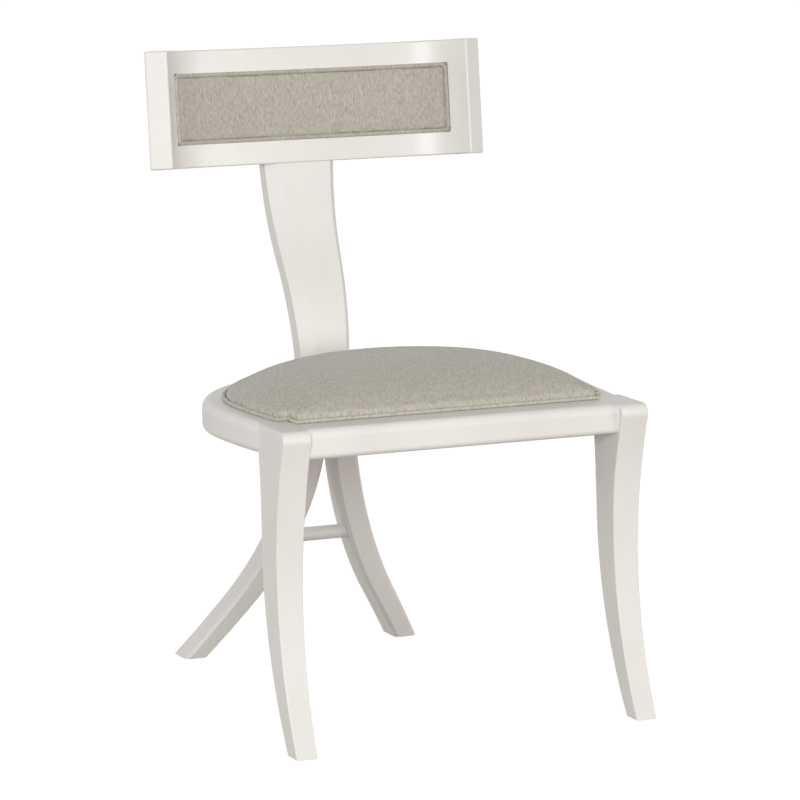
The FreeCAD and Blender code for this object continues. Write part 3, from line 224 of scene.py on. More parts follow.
@dataclass(frozen=True)
class PaintFinish:
    """Sprayed satin paint over sanded wood: faint mottling, and a roughness that varies with the sanding grain."""

    name: str = "satin_paint"
    coat: tuple[int, int, int] = (231, 228, 224)
    hollow: tuple[int, int, int] = (226, 222, 217)
    mottling: tuple[float, float, float] = (9.0, 9.0, 5.0)
    sanding: tuple[float, float, float] = (420.0, 420.0, 60.0)
    roughness: float = 0.42
    roughness_spread: float = 0.10
    coat_weight: float = 0.18
    coat_roughness: float = 0.28

    def build(self) -> bpy.types.Material:
        """Build the material.

        Returns:
            The finished material.
        """
        nodes = NodeTree(self.name)
        drift = nodes.ramp(nodes.noise(self.mottling, detail=3.0), low=0.35, high=0.68)
        colour = nodes.mix(drift, linear(*self.coat), linear(*self.hollow))
        nodes.link(colour, nodes.shader.inputs["Base Color"])
        grain = nodes.noise(self.sanding, detail=4.0, rough=0.6)
        sheen = nodes.ramp(grain, low=0.0, high=1.0)
        varied = nodes.math("MULTIPLY_ADD", sheen, self.roughness_spread)
        varied.node.inputs[2].default_value = self.roughness - self.roughness_spread / 2
        nodes.link(varied, nodes.shader.inputs["Roughness"])
        nodes.shader.inputs["Coat Weight"].default_value = self.coat_weight
        nodes.shader.inputs["Coat Roughness"].default_value = self.coat_roughness
        nodes.bump(grain, distance=0.0002, strength=0.12)
        return nodes.material


@dataclass(frozen=True)
class FabricFinish:
    """Heathered upholstery cloth with slubs that run front to back and up the front."""

    name: str = "heather_cloth"
    slubs: tuple[float, float, float] = (760.0, 150.0, 150.0)
    flecks: tuple[float, float, float] = (520.0, 120.0, 120.0)
    yarn_pitch: float = 0.0011
    roughness: float = 0.92
    specular: float = 0.25
    sheen: float = 0.35
    sheen_roughness: float = 0.45

    def build(self) -> bpy.types.Material:
        """Build the material.

        Returns:
            The finished material.
        """
        nodes = NodeTree(self.name)
        slub = nodes.ramp(nodes.noise(self.slubs, detail=2.0, rough=0.6), low=0.40, high=0.66)
        fleck = nodes.ramp(nodes.noise(self.flecks, detail=2.0), low=0.56, high=0.74)
        cloth = nodes.mix(slub, Cast.STONE.value, Cast.SHADOW.value)
        cloth = nodes.mix(fleck, cloth, Cast.ROSE.value)
        nodes.link(cloth, nodes.shader.inputs["Base Color"])
        nodes.shader.inputs["Roughness"].default_value = self.roughness
        nodes.shader.inputs["Specular IOR Level"].default_value = self.specular
        nodes.shader.inputs["Sheen Weight"].default_value = self.sheen
        nodes.shader.inputs["Sheen Roughness"].default_value = self.sheen_roughness
        yarn = nodes.noise((1 / self.yarn_pitch,) * 3, detail=2.0, rough=0.7)
        nodes.bump(nodes.math("ADD", yarn, slub), distance=0.0006, strength=0.55)
        return nodes.material


@dataclass(frozen=True)
class WoodFinish:
    """Bare planed wood or plywood, with grain along one axis."""

    name: str
    light: tuple[int, int, int]
    dark: tuple[int, int, int]
    along: tuple[float, float, float] = (14.0, 160.0, 160.0)
    roughness: float = 0.62

    def build(self) -> bpy.types.Material:
        """Build the material.

        Returns:
            The finished material.
        """
        nodes = NodeTree(self.name)
        grain = nodes.ramp(nodes.noise(self.along, detail=5.0, rough=0.6), low=0.3, high=0.7)
        colour = nodes.mix(grain, linear(*self.light), linear(*self.dark))
        nodes.link(colour, nodes.shader.inputs["Base Color"])
        nodes.shader.inputs["Roughness"].default_value = self.roughness
        nodes.bump(grain, distance=0.0002, strength=0.3)
        return nodes.material


@dataclass(frozen=True)
class SteelFinish:
    """Zinc-plated steel of the glides, screws and bolts."""

    name: str = "plated_steel"
    bright: tuple[float, float, float] = (0.60, 0.60, 0.61)
    dull: tuple[float, float, float] = (0.46, 0.46, 0.48)
    staining: tuple[float, float, float] = (300.0, 300.0, 300.0)
    roughness: float = 0.34

    def build(self) -> bpy.types.Material:
        """Build the material.

        Returns:
            The finished material.
        """
        nodes = NodeTree(self.name)
        stain = nodes.ramp(nodes.noise(self.staining, detail=3.0), low=0.3, high=0.7)
        nodes.link(nodes.mix(stain, self.bright, self.dull), nodes.shader.inputs["Base Color"])
        nodes.shader.inputs["Metallic"].default_value = 1.0
        nodes.shader.inputs["Roughness"].default_value = self.roughness
        nodes.bump(stain, distance=0.00005, strength=0.2)
        return nodes.material


@dataclass(frozen=True)
class FoamFinish:
    """Open-cell foam inside the covers."""

    name: str = "open_foam"
    wall: tuple[float, float, float] = (0.75, 0.70, 0.52)
    pore: tuple[float, float, float] = (0.60, 0.55, 0.40)
    pores: tuple[float, float, float] = (900.0, 900.0, 900.0)
    roughness: float = 0.95

    def build(self) -> bpy.types.Material:
        """Build the material.

        Returns:
            The finished material.
        """
        nodes = NodeTree(self.name)
        cells = nodes.noise(self.pores, detail=2.0)
        nodes.link(nodes.mix(cells, self.wall, self.pore), nodes.shader.inputs["Base Color"])
        nodes.shader.inputs["Roughness"].default_value = self.roughness
        nodes.bump(cells, distance=0.0008, strength=0.5)
        return nodes.material


def new_piece(name: str, mesh: bmesh.types.BMesh, material: bpy.types.Material) -> bpy.types.Object:
    """Put a bmesh in the scene as a smooth piece with one material.

    Args:
        name: Name of the piece.
        mesh: Its mesh, which is freed.
        material: Its material.

    Returns:
        The new object.
    """
    data = bpy.data.meshes.new(name)
    mesh.to_mesh(data)
    mesh.free()
    data.materials.append(material)
    data.shade_smooth()
    piece = bpy.data.objects.new(name, data)
    bpy.context.scene.collection.objects.link(piece)
    return piece


def apply_modifiers(piece: bpy.types.Object) -> None:
    """Apply all modifiers of a piece to its mesh.

    Args:
        piece: The piece.
    """
    graph = bpy.context.evaluated_depsgraph_get()
    data = bpy.data.meshes.new_from_object(piece.evaluated_get(graph))
    old = piece.data
    piece.modifiers.clear()
    piece.data = data
    data.name = piece.name
    bpy.data.meshes.remove(old)
    data.shade_smooth()


def soften(piece: bpy.types.Object, rounds: int, group: str = "") -> None:
    """Add a smoothing to a piece.

    Args:
        piece: The piece.
        rounds: How many times it is smoothed.
        group: Vertex group that it follows, or nothing for the whole piece.
    """
    smooth = piece.modifiers.new("Soft", "SMOOTH")
    smooth.factor = 0.5
    smooth.iterations = rounds
    smooth.vertex_group = group


def refine(piece: bpy.types.Object) -> None:
    """Add one subdivision to a piece and apply all its modifiers.

    Args:
        piece: The piece.
    """
    fine = piece.modifiers.new("Fine", "SUBSURF")
    fine.levels = fine.render_levels = 1
    apply_modifiers(piece)


def positions(data: bpy.types.Mesh) -> np.ndarray:
    """Return the vertices of a mesh as rows of an array."""
    values = np.empty(len(data.vertices) * 3)
    data.vertices.foreach_get("co", values)
    return values.reshape(-1, 3)


@dataclass(frozen=True)
class Stuffing:
    """How a padded piece swells: the size of its facets, how far a point may move, and the cloth's settings."""

    voxel: float
    furthest: float
    pressure: float = 4.0
    frames: int = 20
    quality: int = 6

    def swell(self, piece: bpy.types.Object, held: Callable[[np.ndarray], bool]) -> None:
        """Remesh a piece evenly and let it swell like stuffed cloth, with some of it held still.

        Args:
            piece: The piece.
            held: Takes a vertex's place and returns True where the cloth is fastened.
        """
        remesh = piece.modifiers.new("Even", "REMESH")
        remesh.mode = "VOXEL"
        remesh.voxel_size = self.voxel
        apply_modifiers(piece)
        start = positions(piece.data)
        group = piece.vertex_groups.new(name="fastened")
        group.add([index for index, place in enumerate(start) if held(place)], 1.0, "REPLACE")
        cloth = piece.modifiers.new("Cloth", "CLOTH")
        cloth.settings.use_pressure = True
        cloth.settings.uniform_pressure_force = self.pressure
        cloth.settings.effector_weights.gravity = 0.0
        cloth.settings.vertex_group_mass = "fastened"
        cloth.settings.quality = self.quality
        cloth.point_cache.frame_start = 1
        cloth.point_cache.frame_end = self.frames
        scene = bpy.context.scene
        for number in range(1, self.frames + 1):
            scene.frame_set(number)
        apply_modifiers(piece)
        scene.frame_set(1)
        moved = positions(piece.data) - start
        length = np.linalg.norm(moved, axis=1, keepdims=True)
        moved *= np.minimum(1.0, self.furthest / np.maximum(length, 1e-9))
        piece.data.vertices.foreach_set("co", (start + moved).ravel())
        piece.vertex_groups.clear()


@dataclass(frozen=True)
class SeatOutline:
    """The horseshoe of the seat, which the cushion follows."""

    half_width: float = 0.278
    sweep: float = 0.820
    widest: float = 0.245
    back: float = 0.491
    back_turn: float = math.radians(43.2)
    front: float = 0.093
    leg_inner: float = 0.22802
    leg_back: float = 0.119
    leg_gap: float = 0.002
    ledge: float = 0.027
    steps: int = 14

    @property
    def gain(self) -> float:
        """Difference between the radii of the back and of the bends."""
        depth = self.back - self.widest
        return (self.half_width - depth) / (math.sin(self.back_turn) + math.cos(self.back_turn) - 1)

    @property
    def bend(self) -> float:
        """Radius of the bends."""
        return self.back - self.widest - self.gain * (1 - math.cos(self.back_turn))

    def side(self, inset: float, line: float) -> float:
        """Half width of the outline at a line in front of its widest point.

        Args:
            inset: How far the outline is moved in.
            line: Distance behind the toes.

        Returns:
            The half width.
        """
        radius = self.sweep - inset
        return self.half_width - self.sweep + math.sqrt(radius**2 - (self.widest - line) ** 2)

    def arcs(self, inset: float, first_line: float) -> list[tuple[Vector, float]]:
        """Arcs of the right half from the front to the middle of the back.

        Args:
            inset: How far the outline is moved in.
            first_line: Where the side starts.

        Returns:
            The centre and the angle of each arc.
        """
        sweep_angle = math.asin((self.widest - first_line) / (self.sweep - inset))
        return [
            (Vector((self.half_width - self.sweep, self.widest - TOE_REACH, 0)), sweep_angle),
            (Vector((self.half_width - self.bend, self.widest - TOE_REACH, 0)), math.pi / 2 - self.back_turn),
            (Vector((0, self.back - self.bend - self.gain - TOE_REACH, 0)), self.back_turn),
        ]

    def draw(self, inset: float, height: float, notched: bool) -> bmesh.types.BMesh:
        """Draw the closed outline of the cushion as edges.

        Args:
            inset: How far it is moved in from the rails' outer edge. At the front and the legs it is moved in by as
                much less the ledge.
            height: Z of the outline.
            notched: Whether it goes round the front legs.

        Returns:
            A bmesh with one ring of edges.
        """
        mesh = bmesh.new()
        drawn = inset - self.ledge
        front = self.front + drawn
        notch_x = self.leg_inner - self.leg_gap - drawn
        notch_line = self.leg_back + self.leg_gap + drawn
        first = notch_line if notched else front
        point = mesh.verts.new((self.side(inset, first), first - TOE_REACH, height))
        start = point
        for centre, angle in self.arcs(inset, first):
            out = bmesh.ops.spin(
                mesh, geom=[point], cent=(centre.x, centre.y, height), axis=(0, 0, 1), dvec=(0, 0, 0),
                angle=angle, steps=self.steps, use_merge=False, use_normal_flip=False, use_duplicate=False,
            )
            point = next(item for item in out["geom_last"] if isinstance(item, bmesh.types.BMVert))
        if notched:
            corner = mesh.verts.new((notch_x, notch_line - TOE_REACH, height))
            mesh.edges.new((start, corner))
            start = mesh.verts.new((notch_x, front - TOE_REACH, height))
            mesh.edges.new((corner, start))
        middle = mesh.verts.new((0, front - TOE_REACH, height))
        mesh.edges.new((start, middle))
        bmesh.ops.mirror(mesh, geom=mesh.verts[:] + mesh.edges[:], axis="X", merge_dist=WELD)
        bmesh.ops.remove_doubles(mesh, verts=mesh.verts[:], dist=WELD)
        return mesh


def ring_order(mesh: bmesh.types.BMesh) -> list[Vector]:
    """Places of the vertices of one ring of edges, in order.

    Args:
        mesh: A bmesh that holds one ring.

    Returns:
        The places.
    """
    mesh.verts.ensure_lookup_table()
    first = mesh.verts[0]
    places, previous, current = [], None, first
    while True:
        places.append(current.co.copy())
        neighbours = [edge.other_vert(current) for edge in current.link_edges]
        following = next(vert for vert in neighbours if vert is not previous)
        previous, current = current, following
        if current is first:
            return places


def loft(rings: list[bmesh.types.BMesh]) -> bmesh.types.BMesh:
    """Bridge rings of edges one after the other and close both ends.

    Args:
        rings: One bmesh for each ring, which are freed.

    Returns:
        The closed form.
    """
    mesh = bmesh.new()
    bands = []
    for ring in rings:
        data = bpy.data.meshes.new("ring")
        ring.to_mesh(data)
        ring.free()
        start = len(mesh.edges)
        mesh.from_mesh(data)
        bpy.data.meshes.remove(data)
        mesh.edges.ensure_lookup_table()
        bands.append(mesh.edges[start:])
    for lower, upper in zip(bands, bands[1:]):
        bmesh.ops.bridge_loops(mesh, edges=lower + upper)
    for band in (bands[0], bands[-1]):
        bmesh.ops.contextual_create(mesh, geom=band)
    bmesh.ops.recalc_face_normals(mesh, faces=mesh.faces[:])
    return mesh


def divide(mesh: bmesh.types.BMesh, longest: float) -> None:
    """Divide the edges of a mesh until none is much longer than a length.

    Args:
        mesh: The mesh.
        longest: The length.
    """
    for edge in mesh.edges[:]:
        cuts = int(edge.calc_length() / longest)
        if cuts:
            bmesh.ops.subdivide_edges(mesh, edges=[edge], cuts=cuts)


def welt_tube(name: str, ring: list[Vector], radius: float, material: bpy.types.Material) -> bpy.types.Object:
    """Make a closed tube of cloth-covered cord along a ring.

    Args:
        name: Name of the piece.
        ring: Points of the ring in order.
        radius: Radius of the welt.
        material: Its material.

    Returns:
        The new object.
    """
    data = bpy.data.curves.new(name + "_path", "CURVE")
    data.dimensions = "3D"
    data.bevel_depth = radius
    data.bevel_resolution = 3
    line = data.splines.new("NURBS")
    line.points.add(len(ring) - 1)
    for point, place in zip(line.points, ring):
        point.co = (*place, 1.0)
    line.use_cyclic_u = True
    line.order_u = 3
    line.resolution_u = 4
    path = bpy.data.objects.new(name + "_path", data)
    bpy.context.scene.collection.objects.link(path)
    mesh = bpy.data.meshes.new_from_object(path.evaluated_get(bpy.context.evaluated_depsgraph_get()))
    bpy.data.objects.remove(path)
    mesh.name = name
    mesh.materials.clear()
    mesh.materials.append(material)
    mesh.shade_smooth()
    piece = bpy.data.objects.new(name, mesh)
    bpy.context.scene.collection.objects.link(piece)
    return piece


@dataclass
class SeatCushion:
    """Domed seat cushion with a welt round its foot."""

    outline: SeatOutline = SeatOutline()
    stuffing: Stuffing = Stuffing(voxel=0.004, furthest=0.003)
    fastened: float = 0.005
    welt_radius: float = 0.0025
    welt_gap: float = 0.0003
    welt_step: float = 0.006
    tuck: float = 0.0045
    lift: float = 0.0006
    lip: float = 0.0125
    crown: float = 0.050
    reach: float = 0.150
    fullness: float = 1.7
    settling: float = 0.016
    crown_rounds: int = 90
    rim_rounds: int = 4
    notch_block: float = 0.2
    drawn: tuple[float, ...] = (0.0, 0.003, 0.007, 0.013, 0.021, 0.032, 0.046, 0.063, 0.083, 0.108, 0.138)

    def rise(self, drawn: float) -> float:
        """Height of the dome over the rails where its outline is drawn in by a length."""
        return self.lip + (self.crown - self.lip) * (1 - (1 - drawn / self.reach) ** self.fullness)

    def dome(self) -> bmesh.types.BMesh:
        """Loft the dome from its foot to its crown.

        Returns:
            The closed dome, without its notches.
        """
        inset = self.outline.ledge + self.tuck
        steps = [(0.0, self.lift)] + [(drawn, self.rise(drawn)) for drawn in self.drawn]
        return loft([self.outline.draw(inset + drawn, SEAT_HEIGHT + rise, notched=False) for drawn, rise in steps])

    def cut_notches(self, cushion: bpy.types.Object) -> None:
        """Leave the front corners to the legs.

        Args:
            cushion: The dome.
        """
        x = self.outline.leg_inner - self.outline.leg_gap - self.tuck
        y = self.outline.leg_back + self.outline.leg_gap + self.tuck - TOE_REACH
        half = self.notch_block / 2
        mesh = bmesh.new()
        for side in (-1, 1):
            place = Matrix.Translation((side * (x + half), y - half, SEAT_HEIGHT))
            bmesh.ops.create_cube(mesh, size=self.notch_block, matrix=place)
        cutter = new_piece("notch_cutter", mesh, cushion.data.materials[0])
        notches = cushion.modifiers.new("Notches", "BOOLEAN")
        notches.operation = "DIFFERENCE"
        notches.solver = "EXACT"
        notches.object = cutter
        apply_modifiers(cushion)
        bpy.data.objects.remove(cutter)

    def settle(self, cushion: bpy.types.Object) -> None:
        """Smooth the crown, more the higher it lies, and then the whole cushion a little.

        Args:
            cushion: The cushion.
        """
        settled = cushion.vertex_groups.new(name="settled")
        for index, place in enumerate(positions(cushion.data)):
            weight = (place[2] - SEAT_HEIGHT - self.lip) / self.settling
            settled.add([index], min(1.0, max(0.0, weight)), "REPLACE")
        soften(cushion, self.crown_rounds, settled.name)
        soften(cushion, self.rim_rounds)

    def body(self, cloth: bpy.types.Material) -> bpy.types.Object:
        """Build the stuffed body of the cushion.

        Args:
            cloth: Its material.

        Returns:
            The cushion.
        """
        cushion = new_piece("seat_cushion", self.dome(), cloth)
        self.cut_notches(cushion)
        self.stuffing.swell(cushion, lambda place: place[2] < SEAT_HEIGHT + self.fastened)
        self.settle(cushion)
        refine(cushion)
        return cushion

    def welt(self, cloth: bpy.types.Material) -> bpy.types.Object:
        """Build the welt round the foot of the cushion.

        Args:
            cloth: Its material.

        Returns:
            The welt.
        """
        height = SEAT_HEIGHT + self.welt_radius + self.welt_gap
        ring = self.outline.draw(self.outline.ledge + self.welt_radius, height, notched=True)
        divide(ring, self.welt_step)
        places = ring_order(ring)
        ring.free()
        return welt_tube("seat_cushion_welt", places, self.welt_radius, cloth)

    def build(self, cloth: bpy.types.Material) -> None:
        """Args:
            cloth: Material of both.
        """
        cushion = self.body(cloth)
        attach(cushion, "root")
        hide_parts("seat_cover", "seat_foam")
        LOG.info("seat cushion: %d faces", len(cushion.data.polygons))
        welt = self.welt(cloth)
        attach(welt, "root")
        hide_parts("seat_welt")
        LOG.info("seat welt: %d faces", len(welt.data.polygons))


@dataclass(frozen=True)
class CrestFrame:
    """The crest rail's own frame and the three arcs of its front.

    The line and the height are those of its lower front edge, and the depth is measured along its lean.
    """

    line: float = 0.5811
    height: float = 0.7125
    rake: float = math.radians(6.9)
    depth: float = 0.1647
    radius: float = 0.582
    turn: float = math.radians(16.2)
    hook: float = 0.115

    @property
    def matrix(self) -> Matrix:
        """Frame at the middle of the rail, with X to the right, Y to the back and Z up along the lean."""
        spot = Vector((0, self.line - TOE_REACH, self.height))
        turned = Matrix.Rotation(-self.rake, 4, "X")
        return Matrix.Translation(spot) @ turned @ Matrix.Translation((0, 0, self.depth / 2))

    def point(self, run: float, offset: float, rise: float) -> Vector:
        """A point on the sweep of the rail.

        Args:
            run: Distance along the front from its middle, positive to the right.
            offset: Distance behind the front.
            rise: Height over the middle of the rail.

        Returns:
            The point in the chair's frame.
        """
        side, run = math.copysign(1, run), abs(run)
        limit = self.radius * self.turn
        if run <= limit:
            angle = run / self.radius
            x = (self.radius + offset) * math.sin(angle)
            y = (self.radius + offset) * math.cos(angle) - self.radius
        else:
            angle = self.turn + (run - limit) / self.hook
            x = (self.radius - self.hook) * math.sin(self.turn) + (self.hook + offset) * math.sin(angle)
            y = (self.radius - self.hook) * math.cos(self.turn) - self.radius
            y += (self.hook + offset) * math.cos(angle)
        return self.matrix @ Vector((side * x, y, rise))

    def run_to(self, sweep: float) -> float:
        """Distance along the front from its middle to an angle of the end arc."""
        return self.radius * self.turn + self.hook * (sweep - self.turn)


@dataclass
class BackPad:
    """Thin pad let into the crest rail, with a welt all round."""

    crest: CrestFrame = CrestFrame()
    stuffing: Stuffing = Stuffing(voxel=0.003, furthest=0.002)
    sweep: float = math.radians(44.4)
    height: float = 0.100
    welt_radius: float = 0.003
    welt_offset: float = -0.001
    welt_step: float = 0.005
    corner: float = 0.008
    corner_segments: int = 5
    tightest: float = 0.002
    tuck: float = 0.0052
    hem: float = 0.004
    rounds: int = 2
    cuts: int = 90
    steps: tuple[tuple[float, float], ...] = (
        (0.0, 0.0037),
        (0.0, -0.0010),
        (0.0015, -0.0024),
        (0.004, -0.0034),
        (0.009, -0.0042),
        (0.016, -0.0048),
        (0.026, -0.0050),
    )

    def wrap(self, mesh: bmesh.types.BMesh) -> None:
        """Bend a flat mesh, X along the rail and Y behind its front, round the crest rail.

        Args:
            mesh: The mesh.
        """
        for vert in mesh.verts:
            vert.co = self.crest.point(vert.co.x, vert.co.y, vert.co.z)

    def ring(self, inset: float, offset: float) -> bmesh.types.BMesh:
        """Draw the pad's rounded outline as one ring of edges.

        Args:
            inset: How far it is moved in from the edge of the recess.
            offset: Distance behind the front of the crest rail.

        Returns:
            A bmesh with the ring, X along the rail.
        """
        mesh = bmesh.new()
        bmesh.ops.create_grid(mesh, x_segments=1, y_segments=1, size=1.0)
        size = (self.crest.run_to(self.sweep) - inset, self.height / 2 - inset, 1)
        bmesh.ops.scale(mesh, verts=mesh.verts[:], vec=size)
        upright = Matrix.Rotation(math.pi / 2, 3, "X")
        bmesh.ops.rotate(mesh, verts=mesh.verts[:], cent=(0, 0, 0), matrix=upright)
        bmesh.ops.bevel(
            mesh, geom=mesh.verts[:], offset=max(self.corner - inset, self.tightest), offset_type="OFFSET",
            segments=self.corner_segments, profile=0.5, affect="VERTICES", material=-1,
        )
        bmesh.ops.delete(mesh, geom=mesh.faces[:], context="FACES_ONLY")
        bmesh.ops.translate(mesh, verts=mesh.verts[:], vec=(0, offset, 0))
        return mesh

    def body(self, cloth: bpy.types.Material) -> bpy.types.Object:
        """Build the stuffed body of the pad.

        Args:
            cloth: Its material.

        Returns:
            The pad.
        """
        mesh = loft([self.ring(self.tuck + drawn, offset) for drawn, offset in self.steps])
        run = self.crest.run_to(self.sweep)
        for place in np.linspace(-run, run, self.cuts):
            whole = mesh.verts[:] + mesh.edges[:] + mesh.faces[:]
            bmesh.ops.bisect_plane(mesh, geom=whole, plane_co=(place, 0, 0), plane_no=(1, 0, 0))
        self.wrap(mesh)
        bmesh.ops.recalc_face_normals(mesh, faces=mesh.faces[:])
        pad = new_piece("back_pad", mesh, cloth)
        into_crest = self.crest.matrix.inverted()
        high = self.height / 2 - self.tuck - self.hem
        wide = (into_crest @ self.crest.point(run - self.tuck - self.hem, 0, 0)).x

        def fastened(place: np.ndarray) -> bool:
            """Whether the cloth is held at its hem here."""
            local = into_crest @ Vector(place)
            return abs(local.z) > high or abs(local.x) > wide

        self.stuffing.swell(pad, fastened)
        soften(pad, self.rounds)
        refine(pad)
        return pad

    def welt(self, cloth: bpy.types.Material) -> bpy.types.Object:
        """Build the welt round the pad.

        Args:
            cloth: Its material.

        Returns:
            The welt.
        """
        mesh = self.ring(self.welt_radius, self.welt_offset)
        divide(mesh, self.welt_step)
        self.wrap(mesh)
        places = ring_order(mesh)
        mesh.free()
        return welt_tube("back_pad_welt", places, self.welt_radius, cloth)

    def build(self, cloth: bpy.types.Material) -> None:
        """Args:
            cloth: Material of both.
        """
        pad = self.body(cloth)
        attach(pad, "root")
        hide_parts("crest_pad_cover", "crest_pad_foam")
        LOG.info("back pad: %d faces", len(pad.data.polygons))
        welt = self.welt(cloth)
        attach(welt, "root")
        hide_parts("crest_pad_welt")
        LOG.info("back pad welt: %d faces", len(welt.data.polygons))


@dataclass
class Joinery:
    """The pieces that keep the meshes of their solids: the painted frame, the boards and the hardware."""

    painted: tuple[str, ...] = (
        "front_leg_left", "front_leg_right", "front_rail", "seat_rail_left", "seat_rail_right",
        "seat_rail_back", "rear_leg_left", "rear_leg_right", "rear_stretcher", "back_splat", "crest_rail",
    )
    beech: tuple[str, ...] = ("corner_block_left", "corner_block_right", "rail_dowels")
    plywood: tuple[str, ...] = ("seat_board", "crest_pad_board")
    metal: tuple[str, ...] = (
        "glide_front_left", "glide_front_right", "glide_rear_left", "glide_rear_right",
        "corner_block_screws", "seat_screws", "frame_bolts", "crest_pad_screws",
    )
    padding: tuple[str, ...] = ("seat_foam", "crest_pad_foam")

    def dress(self, names: tuple[str, ...], material: bpy.types.Material) -> None:
        """Give some nodes a material.

        Args:
            names: Names of the nodes.
            material: The material.
        """
        for name in names:
            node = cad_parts[name]
            for slot in node.material_slots:
                slot.material = material
            LOG.info("%s: %s", name, material.name)

    def build(self) -> None:
        """Dress all the pieces."""
        self.dress(self.painted, PaintFinish().build())
        beech = WoodFinish("planed_beech", light=(216, 198, 172), dark=(198, 176, 146))
        self.dress(self.beech, beech.build())
        plywood = WoodFinish("sanded_plywood", light=(201, 172, 130), dark=(172, 140, 100))
        self.dress(self.plywood, plywood.build())
        self.dress(self.metal, SteelFinish().build())
        self.dress(self.padding, FoamFinish().build())


@dataclass(frozen=True)
class Lamp:
    """A soft box."""

    role: Role
    place: tuple[float, float, float]
    aim: tuple[float, float, float]
    size: float
    power: float
    tint: tuple[float, float, float] = (1.0, 1.0, 1.0)

    def build(self) -> None:
        """Put the lamp in the scene."""
        data = bpy.data.lights.new(self.role.value, "AREA")
        data.shape = "DISK"
        data.size = self.size
        data.energy = self.power
        data.color = self.tint
        lamp = bpy.data.objects.new(self.role.value, data)
        lamp.location = self.place
        lamp.rotation_euler = (Vector(self.aim) - Vector(self.place)).to_track_quat("-Z", "Y").to_euler()
        bpy.context.scene.collection.objects.link(lamp)


def seen_rays(tree: bpy.types.NodeTree) -> bpy.types.NodeSocket:
    """Add the nodes that tell the camera's, mirrored and refracted rays from the light.

    Args:
        tree: A node tree.

    Returns:
        1 for those rays and 0 for light.
    """
    rays = tree.nodes.new("ShaderNodeLightPath")
    value = rays.outputs["Is Camera Ray"]
    for name in ("Is Glossy Ray", "Is Transmission Ray"):
        either = tree.nodes.new("ShaderNodeMath")
        either.operation = "MAXIMUM"
        tree.links.new(value, either.inputs[0])
        tree.links.new(rays.outputs[name], either.inputs[1])
        value = either.outputs["Value"]
    return value


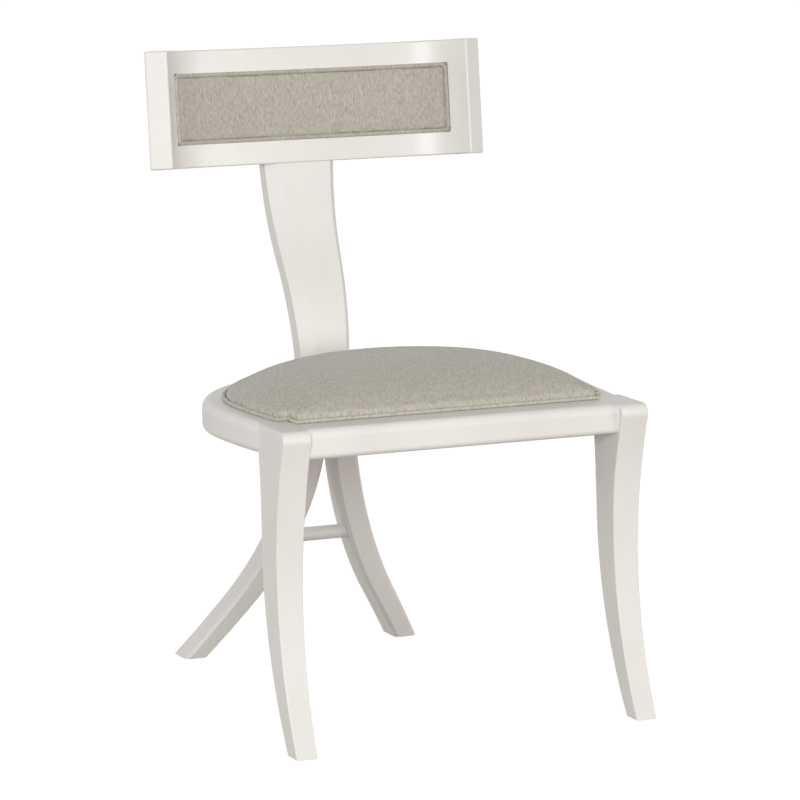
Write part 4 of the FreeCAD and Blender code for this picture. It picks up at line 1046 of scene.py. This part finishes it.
@dataclass
class Studio:
    """White room, lamps and camera."""

    lamps: tuple[Lamp, ...] = (
        Lamp(
            Role.KEY, place=(-2.4, -4.6, 1.5), aim=(0.0, 0.0, 0.5), size=2.4, power=185.0,
            tint=(0.965, 0.98, 1.0),
        ),
        Lamp(
            Role.FILL, place=(3.4, -3.0, 0.9), aim=(0.0, 0.0, 0.4), size=1.6, power=48.0,
            tint=(1.0, 0.98, 0.95),
        ),
        Lamp(Role.RIM, place=(-3.8, 1.4, 0.9), aim=(0.0, 0.1, 0.3), size=1.6, power=24.0),
    )
    zenith: float = 0.28
    horizon: float = 0.56
    ambient_tint: tuple[float, float, float] = (1.0, 0.972, 0.932)
    floor_reach: float = 40.0
    floor_glow: float = 0.97
    floor_colour: tuple[float, float, float, float] = (0.17, 0.14, 0.11, 1.0)
    eye: tuple[float, float, float] = (-2.401, -4.895 - TOE_REACH, 1.419)
    heading: float = math.radians(25.0)
    pitch: float = math.radians(9.97)
    focal_pixels: float = 4217.0
    picture_pixels: float = 800.0
    sensor_width: float = 36.0
    farthest: float = 60.0

    def world(self) -> None:
        """Light the room evenly, less from above than from the sides, and make it white where it is seen."""
        world = bpy.data.worlds.new("room")
        bpy.context.scene.world = world
        world.use_nodes = True
        tree = world.node_tree
        lit = tree.nodes["Background"]
        lit.inputs["Color"].default_value = (*self.ambient_tint, 1.0)
        direction = tree.nodes.new("ShaderNodeSeparateXYZ")
        tree.links.new(tree.nodes.new("ShaderNodeTexCoord").outputs["Generated"], direction.inputs["Vector"])
        level = tree.nodes.new("ShaderNodeMapRange")
        level.inputs["To Min"].default_value = self.horizon
        level.inputs["To Max"].default_value = self.zenith
        tree.links.new(direction.outputs["Z"], level.inputs["Value"])
        tree.links.new(level.outputs["Result"], lit.inputs["Strength"])
        white = tree.nodes.new("ShaderNodeBackground")
        white.inputs["Color"].default_value = (1.0, 1.0, 1.0, 1.0)
        both = tree.nodes.new("ShaderNodeMixShader")
        tree.links.new(seen_rays(tree), both.inputs["Fac"])
        tree.links.new(lit.outputs["Background"], both.inputs[1])
        tree.links.new(white.outputs["Background"], both.inputs[2])
        tree.links.new(both.outputs["Shader"], tree.nodes["World Output"].inputs["Surface"])

    def floor(self) -> None:
        """Lay a pale floor that keeps the chair's shadow and meets the white room."""
        mesh = bmesh.new()
        bmesh.ops.create_grid(mesh, x_segments=1, y_segments=1, size=self.floor_reach)
        material = bpy.data.materials.new("pale_floor")
        material.use_nodes = True
        tree = material.node_tree
        tree.nodes.remove(tree.nodes["Principled BSDF"])
        output = tree.nodes["Material Output"]
        matt = tree.nodes.new("ShaderNodeBsdfDiffuse")
        matt.inputs["Color"].default_value = self.floor_colour
        glow = tree.nodes.new("ShaderNodeEmission")
        level = tree.nodes.new("ShaderNodeMapRange")
        level.inputs["To Min"].default_value = 0.0
        level.inputs["To Max"].default_value = self.floor_glow
        tree.links.new(seen_rays(tree), level.inputs["Value"])
        tree.links.new(level.outputs["Result"], glow.inputs["Strength"])
        both = tree.nodes.new("ShaderNodeAddShader")
        tree.links.new(matt.outputs["BSDF"], both.inputs[0])
        tree.links.new(glow.outputs["Emission"], both.inputs[1])
        tree.links.new(both.outputs["Shader"], output.inputs["Surface"])
        floor = new_piece("studio_floor", mesh, material)

    def camera(self) -> None:
        """Set up the camera at the photograph's viewing angle."""
        data = bpy.data.cameras.new("camera")
        data.sensor_width = self.sensor_width
        data.lens = self.focal_pixels / self.picture_pixels * self.sensor_width
        data.clip_end = self.farthest
        eye = bpy.data.objects.new("camera", data)
        eye.location = self.eye
        eye.rotation_euler = (math.pi / 2 - self.pitch, 0, -self.heading)
        bpy.context.scene.collection.objects.link(eye)
        bpy.context.scene.camera = eye

    def build(self) -> None:
        """Build the whole studio."""
        self.world()
        self.floor()
        for lamp in self.lamps:
            lamp.build()
        self.camera()
        bpy.context.scene.view_settings.view_transform = "Standard"


def main() -> None:
    """Build the looks in order and note the sizes."""
    logging.basicConfig(level=logging.INFO)
    Joinery().build()
    cloth = FabricFinish().build()
    SeatCushion().build(cloth)
    BackPad().build(cloth)
    Studio().build()


if __name__ == "__main__":
    main()
